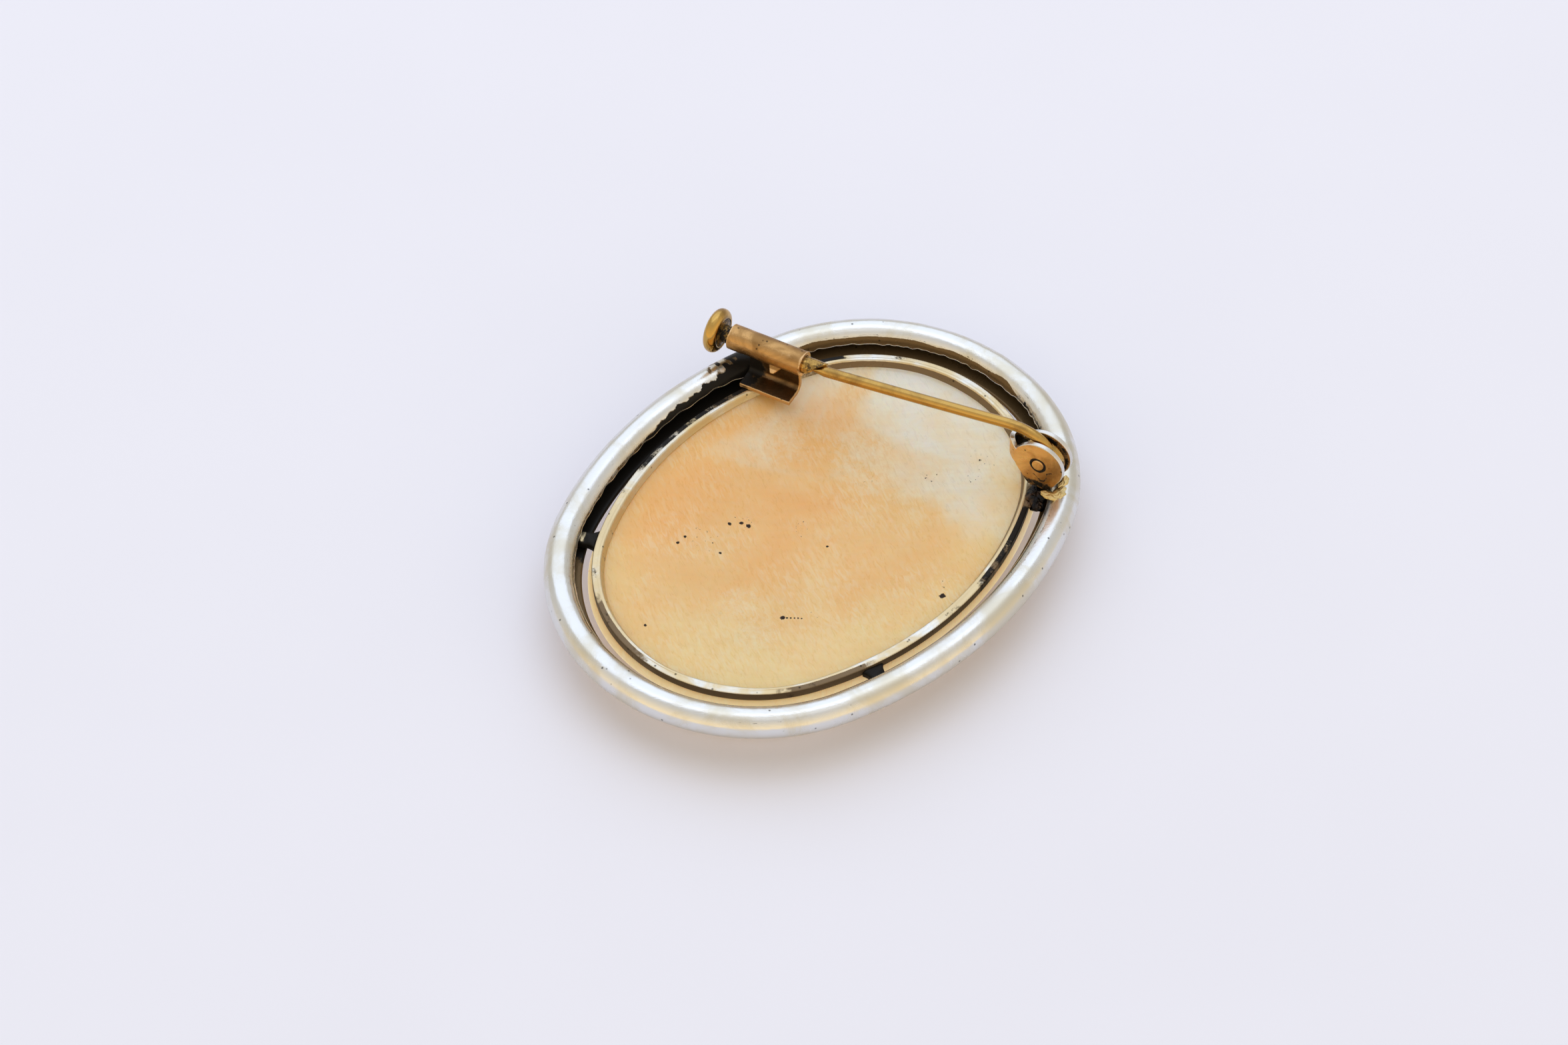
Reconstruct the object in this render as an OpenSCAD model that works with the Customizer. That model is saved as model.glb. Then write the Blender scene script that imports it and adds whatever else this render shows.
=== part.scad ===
// A cameo brooch that lies on its carved front, in millimetres.
// Z = 0 is the surface it lies on and Z points to the brooch's back. X runs across the oval, Y along it.
// Every oval is drawn with four arcs and is held as [half width, half length, end radius].

/* [Frame] */
// Length over the frame
frame_len = 52.4; // [48:0.2:60]
// Width over the frame
frame_wid = 40.3; // [38:0.1:44]
// How much smaller the end radius is than half the width
frame_ease = 1.45; // [1.2:0.05:2.5]
// Diameter of the round tube
tube_d = 2.8; // [2.4:0.1:3.2]
// Wall of the tube
tube_wall = 0.45; // [0.3:0.05:0.6]
// Angle above level where the tube's inner side opens
lip_top = 12; // [0:1:20]
// Reach of the tube's lower sheet towards the shell, from the tube's middle
flange_reach = 1.95; // [1.6:0.05:2.1]
// Height of the collet's back rim above the surface
rim_z = 5.2; // [5:0.1:6.5]
// Drop from that rim to the tube's centre line
frame_drop = 0.4; // [0.3:0.05:0.6]

/* [Collet] */
// Gap between tube and collet at the sides
side_gap = 1.1; // [0.8:0.05:1.6]
// Gap between tube and collet at the ends
end_gap = 1.4; // [0.9:0.05:2]
// How much smaller the collet's end radius is than half its width
collet_ease = 1.8; // [1.4:0.05:2.6]
// Width of the flat back rim
rim_w = 1.1; // [0.8:0.05:1.5]
// Height of the collet's outer wall
collet_h = 0.6; // [0.5:0.05:0.8]
// Height of its inner wall
collet_in_h = 0.85; // [0.6:0.05:1]

/* [Posts] */
// Directions of the bare posts from the middle of the oval
post_dirs = [148.6, 228.7, 328.6]; // [0:0.1:360]
// Width of a post
post_w = 2.2; // [1.5:0.1:2.8]
// Height of a post
post_h = 0.9; // [0.6:0.05:1]
// Drop from the back rim to the top of a post
post_drop = 0.3; // [0.2:0.05:0.4]

/* [Shell] */
// Gap for the glue between shell and collet
glue_gap = 0.06; // [0.04:0.01:0.1]
// Height of the shell's bare edge
girth_h = 0.8; // [0.6:0.05:1]
// Depth of the hollow in the back
back_sag = 1.1; // [0.6:0.1:1.6]
// Height of the ground of the carving above the surface
ground_z = 0.9; // [0.8:0.05:1.1]
// How round the front is, where 1 is a bowl and less is flatter with steeper edges
front_round = 0.7; // [0.5:0.05:1]
// Size of the carved flower, where 1 is 14.4 mm across
flower_scale = 1; // [0.8:0.05:1.2]

/* [Hinge] */
// Direction of the hinge, and of the post that carries it, from the middle of the oval
hinge_dir = 53.7; // [50:0.5:58]
// Direction of the pin line against the X axis
pin_dir = 14; // [10:0.5:18]
// Height of the rivet above the back rim
rivet_lift = 3.4; // [3.2:0.1:4]
// Diameter of the rivet
rivet_d = 1.07; // [0.9:0.01:1.3]
// Radius of the round ears
ear_r = 2.45; // [2.3:0.05:2.7]
// Thickness of an ear
ear_t = 0.45; // [0.35:0.05:0.6]
// Gap between the ears
ear_gap = 1.2; // [1.15:0.05:1.5]
// Reach of the bridge that joins the ears, from the rivet
bridge_reach = 3.2; // [3.1:0.1:3.6]
// Height of the bridge
bridge_h = 1.8; // [1.4:0.1:2]

/* [Pin] */
// Diameter of the pin wire
pin_d = 1; // [0.8:0.05:1.1]
// Distance of the bend from the rivet, along the pin line
bend_back = 3.4; // [3.2:0.1:4]
// Height of the bend above the rivet
bend_up = 2.7; // [2.5:0.1:3]
// Radius of the bend
bend_r = 6; // [5:0.5:7]
// Angle below level to which the bend turns down
bend_down = 25; // [15:1:30]
// Radius of the flat eye on the rivet
eye_r = 2.1; // [1.9:0.05:2.2]
// Length of the sharpened point
point_len = 1.9; // [1:0.1:2.5]
// Diameter of the pin's very tip
tip_d = 0.3; // [0.2:0.05:0.5]
// How far the tip stays out of the catch's tube
tip_clear = 0.2; // [0.1:0.05:0.5]
// How far the tip lies below the axis of the catch
tip_low = 0.13; // [0:0.01:0.15]

/* [Catch] */
// Diameter of the fixed tube
catch_d = 2.4; // [2.3:0.05:2.8]
// Length of the fixed tube
catch_len = 7.4; // [6.5:0.1:8.5]
// How far the tube stands out past the frame's centre line
catch_over = 0.55; // [0:0.05:1]
// Height of its axis above the back rim
catch_lift = 3.45; // [3.2:0.05:3.8]
// Width of the slit along the tube
slit_w = 0.8; // [0.6:0.05:0.9]
// Length of tube that the slit leaves whole
slit_stop = 1.4; // [1:0.1:2]
// Thickness of the bracket's sheet
sheet_t = 0.45; // [0.35:0.05:0.5]
// Reach of the bracket's foot in front of its wall
foot_reach = 2; // [1.5:0.1:2.4]
// How much shorter the foot is than the tube's open end
foot_back = 0.3; // [0.1:0.1:1]

/* [Plunger] */
// Diameter of the sliding tube
plunger_d = 1.65; // [1.55:0.01:1.7]
// Bore of the sliding tube
plunger_bore = 1.15; // [1.1:0.01:1.2]
// Clearance between the two tubes, on the radius
slide_fit = 0.05; // [0.03:0.01:0.08]
// Reach of the quill tip out of the fixed tube
quill_len = 2.1; // [1.9:0.1:2.4]
// Length of the slanted cut at the quill tip
quill_cut = 1.8; // [1.2:0.1:1.8]
// Turn of the quill's longest side from the top towards the near side
quill_turn = 35; // [0:5:45]
// Depth of the bore behind the fixed tube's mouth
bore_depth = 2.4; // [1:0.1:4]
// Bare neck between fixed tube and knob
neck_len = 0.9; // [0.5:0.1:1.5]
// Diameter of the knob
knob_d = 4.2; // [3.6:0.1:4.8]
// Thickness of the knob's rounded rim
knob_t = 1.25; // [1:0.05:1.6]
// Rise of the knob's domed face over its rim
knob_dome = 0.3; // [0.1:0.05:0.5]
// Distance of the stop from the fixed tube's mouth
stop_back = 2.55; // [2:0.05:3]
// Length of the stop along the slit
stop_len = 1.2; // [0.8:0.05:1.4]
// How far the stop stands out of the fixed tube
stop_out = 0.65; // [0.3:0.05:0.8]
// Thickness of the stop
stop_w = 0.5; // [0.4:0.05:0.55]

/* [Hidden] */
$fn = 96;

// Clearance of a turning fit, on the radius
turn_fit = 0.03;
// Depth by which soldered pieces run into each other, a smaller lap, and the overshoot of cuts
bite = 0.3;
lap = 0.1;
past = 1;
// Small step that keeps faces from falling on each other
hair = 0.02;
// Half the hair gap at an oval's seams, and the length of the tongues that bridge it
seam_gap = 0.005;
tongue_len = 1;
// Where a tongue begins inside the metal and how thick it is, as shares of the metal's thickness
tongue_from = 0.8;
tongue_part = 0.6;
// Round the tube's middle line, and the collet's outer edge
frame_mid = [
  frame_wid / 2 - tube_d / 2,
  frame_len / 2 - tube_d / 2,
  frame_wid / 2 - tube_d / 2 - frame_ease
];
collet_wid_half = frame_wid / 2 - tube_d - side_gap;
collet_out = [
  collet_wid_half,
  frame_len / 2 - tube_d - end_gap,
  collet_wid_half - collet_ease
];
shell_out = grown(collet_out, -glue_gap);
shell_in = grown(collet_out, -rim_w - glue_gap);
frame_top = tube_d / 2 - frame_drop;

// Where the hinge stands over the gap, and where the pin line crosses the frame's middle line
gap_in = oval_reach(collet_out, hinge_dir);
gap_out = oval_reach(grown(frame_mid, -tube_d / 2), hinge_dir);
pivot = (gap_in + gap_out) / 2 * [cos(hinge_dir), sin(hinge_dir)];
cross_at = line_to_arc(pivot, pin_dir, [side_r(frame_mid) - frame_mid[0], 0], side_r(frame_mid));

catch_left = cross_at - catch_over;
catch_right = catch_left + catch_len;
catch_bore = plunger_d + 2 * slide_fit;
foot_left = cross_at + tube_d / 2;
foot_right = catch_right - foot_back;
wall_front = -0.35;
slit_turn = 45;

// Shares of half the stop's length at which its outer end begins and stops
stop_left = 0.45;
stop_right = 0.15;

// Hinge: its solder pad along the pin line, the feet of the ears, and the ends of the rivet
hinge_w = ear_gap + 2 * ear_t;
pad_from = -1.25;
pad_to = 1.7;
pad_top = frame_top + 0.05;
foot_w = 2.5;
foot_mid = 0.35;
bridge_low = 0.05;
rivet_out = 0.08;
eye_thin = 0.1;

pin_tip = [catch_right + tip_clear, catch_lift - tip_low];
bend_at = [-bend_back, rivet_lift + bend_up];
pin_slope = atan2(bend_at[1] - pin_tip[1], bend_at[0] - pin_tip[0]);
stem_len = norm(bend_at - pin_tip);
bend_mid = bend_at + bend_r * [sin(pin_slope), -cos(pin_slope)];

knob_at = catch_left - neck_len - knob_t / 2;
stop_at = catch_right - stop_back;

// Counts of the shell's mesh
spokes = 96;
front_rings = 40;
back_rings = 5;

// Radius of an oval's side arcs, from tangency with its end arcs
function side_r(o) = (pow(o[1] - o[2], 2) + pow(o[0], 2) - pow(o[2], 2)) / (2 * (o[0] - o[2]));
// Direction in which side arc and end arc meet, seen from the side arc's centre
function join_dir(o) = atan2(o[1] - o[2], side_r(o) - o[0]);
// An oval moved outwards by d all round
function grown(o, d) = [o[0] + d, o[1] + d, o[2] + d];
// Whether an oval's edge in direction dir belongs to a side arc, from the point's height over the middle
function on_side(o, y) = abs(y) < side_r(o) * sin(join_dir(o));
// Outward direction of an oval's edge at the point that lies in direction dir from its middle
function out_dir(o, dir) =
  let (
    p = oval_reach(o, dir) * [cos(dir), sin(dir)],
    c = on_side(o, p[1]) ? [sign(p[0]) * (o[0] - side_r(o)), 0] : [0, sign(p[1]) * (o[1] - o[2])]
  )
  atan2(p[1] - c[1], p[0] - c[0]);
// Distance along a ray from the origin to a circle round c
function ray_to_circle(dir, c, r) =
  let (t = c * [cos(dir), sin(dir)])
  t + sqrt(t * t - c * c + r * r);
// Distance from the middle of an oval to its edge in any direction
function oval_reach(o, dir) =
  let (
    turned = atan2(abs(sin(dir)), abs(cos(dir))),
    side = side_r(o),
    join = join_dir(o),
    meet = atan2(o[1] - o[2] + o[2] * sin(join), o[2] * cos(join))
  )
  turned < meet
    ? ray_to_circle(turned, [o[0] - side, 0], side)
    : ray_to_circle(turned, [0, o[1] - o[2]], o[2]);
// Distance from p along dir to the far left crossing with a circle round c
function line_to_arc(p, dir, c, r) =
  let (
    u = [cos(dir), sin(dir)],
    d = p - c
  )
  -(d * u) - sqrt(pow(d * u, 2) - d * d + r * r);

// Rise from 0 to 1 as v goes from 0 to 1, level at both ends
function ease(v) =
  let (t = max(0, min(1, v)))
  t * t * (3 - 2 * t);
// Rise of a carved edge, d inside its line
function brink(d) = ease(d / brink_w + 0.5);
// One ring of five round petals: radius of its edge in direction dir
function petal_edge(r, turn, dir) = r * (0.84 + 0.16 * pow(abs(cos(2.5 * (dir - turn))), 0.7));
// Height of a ring of cupped petals, highest at their tips and creased between them
function petals(x, y, r, turn, low, high) =
  let (
    q = norm([x, y]),
    dir = atan2(y, x),
    edge = petal_edge(r, turn, dir),
    crease = pow(abs(sin(2.5 * (dir - turn))), 6)
  )
  (low + (high - low) * pow(min(1, q / edge), 2) * (1 - 0.55 * crease)) * brink(edge - q);
// Height of a pointed leaf that starts at from and runs towards dir, with a groove down its middle
function leaf(x, y, from, dir, len, wid) =
  let (
    dx = x - from[0],
    dy = y - from[1],
    along = (dx * cos(dir) + dy * sin(dir)) / len,
    across = abs(dy * cos(dir) - dx * sin(dir)),
    half = wid * sin(180 * max(0, min(1, along))) / 2
  )
  half <= 0 ? 0 : brink(half - across) * (0.28 + 0.3 * across / half) * min(1, 6 * along * (1 - along) + 0.2);
// Width over which a carved edge rises
brink_w = 0.7;
// Rings of petals: radius, turn, height at the middle and at the tips
PETALS = [
  [7.2, 18, 0.35, 0.85],
  [4.9, 54, 0.75, 1.2],
  [2.7, 18, 0.85, 1.05]
];
// Leaves of the spray: start, direction, length and width
LEAVES = [
  [[4.5, 4.5], 52, 11, 6],
  [[-4.5, 4.5], 128, 11, 6],
  [[-4.5, -4.5], 232, 11, 6],
  [[4.5, -4.5], 308, 11, 6],
  [[0, 6], 90, 9, 4.5],
  [[0, -6], 270, 9, 4.5]
];
// Height of the whole carving above its ground
function relief(x, y) =
  let (
    u = x / flower_scale,
    v = y / flower_scale,
    flower = [for (p = PETALS) petals(u, v, p[0], p[1], p[2], p[3])],
    spray = [for (l = LEAVES) leaf(u, v, l[0], l[1], l[2], l[3])]
  )
  max(concat(flower, spray));
// Height of the carved front over the surface at share s of the shell's outline
function front_z(x, y, s) =
  let (
    edge_z = rim_z - collet_h - glue_gap - girth_h,
    ground = ground_z + (edge_z - ground_z) * (1 - pow(max(0, 1 - s * s), front_round))
  )
  s == 1 ? edge_z : max(0, ground - relief(x, y) * ease((1 - s) * 8));

// Sweeps a flat profile round an oval; the profile's x = 0 lies on the oval and its x points outwards.
// Neighbouring arcs end a hair apart, and tongues inside the metal join them.
module round_oval(o) {
  side = side_r(o);
  join = join_dir(o);
  side_cut = asin(seam_gap / side);
  end_cut = asin(seam_gap / o[2]);
  for (flip = [0, 180]) {
    rotate([0, 0, flip]) {
      translate([o[0] - side, 0, 0])
        rotate([0, 0, side_cut - join])
          rotate_extrude(angle = 2 * (join - side_cut))
            translate([side, 0])
              children();
      translate([0, o[1] - o[2], 0])
        rotate([0, 0, join + end_cut])
          rotate_extrude(angle = 180 - 2 * (join + end_cut))
            translate([o[2], 0])
              children();
    }
  }
}

// Sets a tongue across each of an oval's four seams, with x outwards and y along the oval
module at_seams(o) {
  for (flip = [0, 180]) {
    for (dir = [join_dir(o), 180 - join_dir(o)]) {
      rotate([0, 0, flip])
        translate([0, o[1] - o[2], 0])
          rotate([0, 0, dir])
            translate([o[2], 0, 0])
              children();
    }
  }
}

// Puts a piece on the pin line: x along it, y away from the near side, z above the back rim
module on_pin_line() {
  translate([pivot[0], pivot[1], rim_z])
    rotate([0, 0, pin_dir])
      children();
}

// A round bar or bore across the pin line at the rivet
module across_hinge(d, len) {
  translate([0, len / 2, rivet_lift])
    rotate([90, 0, 0])
      cylinder(d = d, h = len);
}

// The frame's tube, open on its inner side, whose lower sheet runs on level towards the shell
module tube_profile() {
  difference() {
    circle(d = tube_d);
    circle(d = tube_d - 2 * tube_wall);
    polygon([[0, 0], tube_d * [-cos(lip_top), sin(lip_top)], [0, -tube_d]]);
  }
  translate([-flange_reach, hair - tube_d / 2])
    square([flange_reach + lap, tube_wall - 2 * hair]);
}

// The collet's flat rim with its slanted underside
module collet_profile() {
  polygon([[0, 0], [0, -collet_h], [-rim_w, -collet_in_h], [-rim_w, 0]]);
}

// A post that runs square from the collet's edge into the far wall of the tube
module post(dir) {
  out = out_dir(collet_out, dir);
  from = oval_reach(collet_out, dir);
  reach = (oval_reach(frame_mid, dir) - from) * cos(out - dir) + (tube_d - tube_wall) / 2;
  root = collet_h - post_drop - hair;
  rotate([0, 0, dir])
    translate([from, 0, -post_drop])
      rotate([0, 0, out - dir]) {
        translate([glue_gap, -post_w / 2, -post_h])
          cube([reach - glue_gap, post_w, post_h]);
        translate([-bite, -post_w / 2, -root])
          cube([bite + glue_gap + lap, post_w, root]);
      }
}

// The frame's tube and the collet, each with tongues in its seams
module ovals() {
  translate([0, 0, -frame_drop]) {
    round_oval(frame_mid)
      tube_profile();
    at_seams(frame_mid)
      translate([tube_d / 2 - tongue_from * tube_wall, -tongue_len / 2, -tube_wall / 2])
        cube([tongue_part * tube_wall, tongue_len, tube_wall]);
  }
  round_oval(collet_out)
    collet_profile();
  at_seams(collet_out)
    translate([-tongue_from * rim_w, -tongue_len / 2, -tongue_from * collet_h])
      cube([tongue_part * rim_w, tongue_len, tongue_part * collet_h]);
}

// The slit tube of the catch on its bracket of bent sheet, which a solder pad ties to the frame
module catch() {
  translate([cross_at - bite, -foot_reach - sheet_t, -sheet_t])
    cube([foot_left - cross_at + 2 * bite, foot_reach + sheet_t, 2 * sheet_t - hair]);
  difference() {
    union() {
      translate([catch_left, 0, catch_lift])
        rotate([0, 90, 0])
          cylinder(d = catch_d, h = catch_len);
      translate([foot_left, wall_front, -hair])
        cube([foot_right - foot_left, sheet_t, catch_lift - catch_bore / 2 - lap]);
      translate([foot_left, wall_front - foot_reach, -hair])
        cube([foot_right - foot_left, foot_reach + sheet_t, sheet_t + hair]);
    }
    translate([catch_left - past, 0, catch_lift])
      rotate([0, 90, 0])
        cylinder(d = catch_bore, h = catch_len + 2 * past);
    translate([catch_left + slit_stop, 0, catch_lift])
      rotate([slit_turn, 0, 0])
        translate([0, -catch_d, -slit_w / 2])
          cube([catch_len, catch_d, slit_w]);
  }
}

// Two round ears that a bent bridge joins, on their solder pad
module hinge_ears() {
  bridge_mid = -(bridge_reach - hinge_w / 2);
  bridge_z = rivet_lift - bridge_low;
  translate([pad_from, -hinge_w / 2 - hair, hair - collet_h])
    cube([pad_to - pad_from, hinge_w + 2 * hair, pad_top + collet_h - hair]);
  difference() {
    union() {
      across_hinge(2 * ear_r, hinge_w);
      translate([foot_mid - foot_w / 2, -hinge_w / 2, pad_top - bite])
        cube([foot_w, hinge_w, rivet_lift - pad_top + bite]);
      translate([bridge_mid, -hinge_w / 2, bridge_z])
        cube([-bridge_mid, hinge_w, bridge_h]);
      translate([bridge_mid, 0, bridge_z])
        cylinder(d = hinge_w, h = bridge_h);
    }
    translate([bridge_mid, -ear_gap / 2, pad_top - past])
      cube([ear_r + past - bridge_mid, ear_gap, rivet_lift + ear_r + past]);
    translate([bridge_mid, 0, bridge_z - past])
      cylinder(d = ear_gap, h = bridge_h + 2 * past);
    across_hinge(rivet_d + hair, hinge_w + past);
  }
}

// All the silver, and what is soldered to it
module setting() {
  color("silver") {
    translate([0, 0, rim_z]) {
      ovals();
      for (dir = concat(hinge_dir, post_dirs)) {
        post(dir);
      }
    }
    on_pin_line() {
      catch();
      hinge_ears();
    }
  }
}

module cameo_shell() {
  steps = [for (k = [0 : spokes - 1]) k * 360 / spokes];
  back_z = rim_z - collet_h - glue_gap;
  hollow_z = rim_z - collet_in_h - glue_gap;
  front = [
    for (i = [front_rings : -1 : 1]) for (a = steps)
      let (
        s = i / front_rings,
        r = s * oval_reach(shell_out, a)
      )
      [r * cos(a), r * sin(a), front_z(r * cos(a), r * sin(a), s)]
  ];
  edge = [for (a = steps) let (r = oval_reach(shell_out, a)) [r * cos(a), r * sin(a), back_z]];
  hollow = [
    for (i = [back_rings : -1 : 1]) for (a = steps)
      let (
        s = i / back_rings,
        r = s * oval_reach(shell_in, a)
      )
      [r * cos(a), r * sin(a), hollow_z - back_sag * (1 - s * s)]
  ];
  front_tip = [[0, 0, front_z(0, 0, 0)]];
  hollow_tip = [[0, 0, hollow_z - back_sag]];
  points = concat(front, edge, hollow, front_tip, hollow_tip);
  n = spokes;
  last_front = (front_rings - 1) * n;
  last_hollow = (front_rings + back_rings) * n;
  tip = (front_rings + back_rings + 1) * n;
  faces = concat(
    [for (i = [0 : front_rings - 2]) for (k = [0 : n - 1]) each band(i * n, (i + 1) * n, k, n, false)],
    [for (k = [0 : n - 1]) each band(0, front_rings * n, k, n, true)],
    [for (i = [front_rings : front_rings + back_rings - 1]) for (k = [0 : n - 1])
      each band(i * n, (i + 1) * n, k, n, true)],
    [for (k = [0 : n - 1]) [last_front + k, last_front + (k + 1) % n, tip]],
    [for (k = [0 : n - 1]) [last_hollow + (k + 1) % n, last_hollow + k, tip + 1]]
  );
  color("peachpuff")
    polyhedron(points, faces, convexity = 6);
}

// Two triangles between place k of one ring of points and of the next
function band(from, to, k, n, flip) =
  let (
    a = from + k,
    b = from + (k + 1) % n,
    c = to + (k + 1) % n,
    d = to + k
  )
  flip ? [[a, d, b], [b, d, c]] : [[a, b, d], [b, c, d]];

// The knob's rim and domed face, turned round the z axis with the face towards -z
module knob() {
  rim_r = knob_t / 2;
  flat_r = knob_d / 2 - rim_r;
  dome_r = (pow(flat_r, 2) + pow(knob_dome, 2)) / (2 * knob_dome);
  rotate_extrude()
    translate([flat_r, 0])
      circle(r = rim_r);
  translate([0, 0, -rim_r])
    cylinder(r = flat_r, h = knob_t);
  intersection() {
    translate([0, 0, -rim_r - knob_dome + dome_r])
      sphere(r = dome_r);
    translate([0, 0, -rim_r - knob_dome])
      cylinder(r = flat_r, h = knob_dome + lap);
  }
}

// The stop, a tab that narrows outwards towards -y
module stop() {
  half = stop_len / 2;
  root = -plunger_bore / 2 - lap;
  brim = -catch_d / 2;
  translate([0, 0, -stop_w / 2])
    linear_extrude(stop_w)
      polygon([
        [-half, root],
        [half, root],
        [half, brim],
        [half * stop_right, brim - stop_out],
        [-half * stop_left, brim - stop_out],
        [-half, brim]
      ]);
}

module plunger() {
  mouth = catch_right;
  tip = mouth + quill_len;
  cut_turn = atan2(plunger_d, quill_cut);
  color("goldenrod")
    on_pin_line()
      translate([0, 0, catch_lift]) {
        difference() {
          translate([knob_at, 0, 0])
            rotate([0, 90, 0])
              cylinder(d = plunger_d, h = tip - knob_at);
          translate([mouth - bore_depth, 0, 0])
            rotate([0, 90, 0])
              cylinder(d = plunger_bore, h = bore_depth + 2 * quill_len);
          rotate([quill_turn, 0, 0])
            translate([tip, 0, plunger_d / 2])
              rotate([0, 180 - cut_turn, 0])
                translate([-quill_len, -plunger_d, 0])
                  cube([3 * quill_len, 2 * plunger_d, 2 * plunger_d]);
        }
        translate([knob_at, 0, 0])
          rotate([0, 90, 0])
            knob();
        translate([stop_at, 0, 0])
          rotate([slit_turn, 0, 0])
            stop();
      }
}

module rivet() {
  color("darkgoldenrod")
    on_pin_line()
      across_hinge(rivet_d, hinge_w + 2 * rivet_out);
}

module pin() {
  straight = stem_len - point_len;
  color("darkkhaki")
    on_pin_line()
      difference() {
        union() {
          across_hinge(2 * eye_r, pin_d - eye_thin);
          translate([bend_at[0], 0, bend_at[1]])
            rotate([0, -90 - pin_slope, 0])
              cylinder(d = pin_d, h = straight);
          translate([pin_tip[0], 0, pin_tip[1]])
            rotate([0, 90 - pin_slope, 0])
              cylinder(d1 = tip_d, d2 = pin_d, h = point_len);
          translate([bend_mid[0], 0, bend_mid[1]])
            rotate([90, 0, 0])
              rotate([0, 0, 90 - bend_down])
                rotate_extrude(angle = bend_down + pin_slope)
                  translate([bend_r, 0])
                    circle(d = pin_d);
        }
        across_hinge(rivet_d + 2 * turn_fit, hinge_w);
      }
}

setting();
cameo_shell();
plunger();
rivet();
pin();
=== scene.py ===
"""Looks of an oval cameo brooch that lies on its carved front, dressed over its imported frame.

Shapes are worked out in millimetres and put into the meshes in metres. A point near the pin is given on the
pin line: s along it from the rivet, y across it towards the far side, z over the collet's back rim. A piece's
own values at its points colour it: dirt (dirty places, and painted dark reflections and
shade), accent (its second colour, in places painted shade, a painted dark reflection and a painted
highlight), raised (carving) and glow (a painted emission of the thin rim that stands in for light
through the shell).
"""
import logging
import math
from dataclasses import dataclass, field
from enum import Enum, IntEnum
from functools import partial, reduce
from typing import Any, Callable

import bpy
import numpy as np
from mathutils import Matrix, Vector


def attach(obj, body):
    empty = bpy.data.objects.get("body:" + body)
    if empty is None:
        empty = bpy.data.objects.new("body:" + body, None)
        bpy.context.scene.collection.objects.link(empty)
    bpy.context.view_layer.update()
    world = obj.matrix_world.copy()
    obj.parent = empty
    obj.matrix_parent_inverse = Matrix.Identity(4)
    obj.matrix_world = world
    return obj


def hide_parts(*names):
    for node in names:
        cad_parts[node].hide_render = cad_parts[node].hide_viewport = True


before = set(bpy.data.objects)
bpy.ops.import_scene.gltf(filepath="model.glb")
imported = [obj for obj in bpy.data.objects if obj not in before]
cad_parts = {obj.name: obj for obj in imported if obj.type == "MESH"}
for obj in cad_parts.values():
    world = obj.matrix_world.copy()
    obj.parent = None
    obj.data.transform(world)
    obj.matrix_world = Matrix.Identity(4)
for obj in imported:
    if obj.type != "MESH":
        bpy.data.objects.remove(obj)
LOG = logging.getLogger("brooch")
MM = 0.001
TURN = 2 * math.pi
RIM_Z = 5.2  # the collet's back rim over the floor
CATCH_Z = 3.45  # axis of the sliding tube over that rim
AXLE_Z = 3.4  # axis of the rivet over that rim
RIVET_R = 0.535
HOLE_R = RIVET_R + 0.03  # holes of ears and eye
CATCH_SIDE = np.array([-0.94, -0.34])  # from the oval's middle towards the catch, in plan
Table = tuple[tuple[float, ...], ...]
Marks = dict[str, np.ndarray | float]


class Body(Enum):
    """The moving bodies that pieces ride on."""

    BROOCH = "brooch"
    PIN = "pin"
    PLUNGER = "plunger"


class Slot(Enum):
    """The record's material slots."""

    SILVER = "silver"
    SHELL = "shell"
    ROSE_GOLD = "rose_gold"
    BRASS = "brass"


class Face(IntEnum):
    """The faces of the frame's sheet: round the tube, on and round the lower sheet, and inside the tube."""

    OUTSIDE = 0
    LEDGE = 1
    INSIDE = 2


# ---------------------------------------------------------------- surfaces

def smooth(v: np.ndarray | float) -> np.ndarray:
    """Rises from 0 to 1 as v goes from 0 to 1, level at both ends: 3 v^2 - 2 v^3."""
    t = np.clip(v, 0.0, 1.0)
    return t * t * (3 - 2 * t)


def highest(*parts: np.ndarray | float) -> np.ndarray:
    """The highest of some values at each point."""
    return reduce(np.maximum, parts)


def around(count: int) -> np.ndarray:
    """Angles spread evenly over a full turn, in radians."""
    return np.arange(count) / count * TURN


def squarish(angle: np.ndarray, power: float) -> tuple[np.ndarray, np.ndarray]:
    """Points of a superellipse, |x|^power + |y|^power = 1, in given directions.

    Args:
        angle: Directions, in radians.
        power: 2 for a circle, more for squarer outlines.

    Returns:
        x and y of the points.
    """
    c, s = np.cos(angle), np.sin(angle)
    bulge = (np.abs(c) ** power + np.abs(s) ** power) ** (-1 / power)
    return c * bulge, s * bulge


def waver(turn: np.ndarray, seed: int, low: int, high: int) -> np.ndarray:
    """Uneven ripple round a closed line: a sum of sines of whole frequencies with seeded phases.

    Args:
        turn: Angles round the line, in radians.
        seed: Picks the phases.
        low: Lowest number of waves in a turn.
        high: Highest number of waves in a turn.

    Returns:
        Values mostly between -1 and 1.
    """
    rng = np.random.default_rng(seed)
    waves = np.arange(low, high + 1)
    sizes = rng.normal(size=waves.size) / np.sqrt(waves.size)
    phases = rng.uniform(0, TURN, waves.size)
    return np.sin(turn[..., None] * waves + phases) @ sizes


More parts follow.
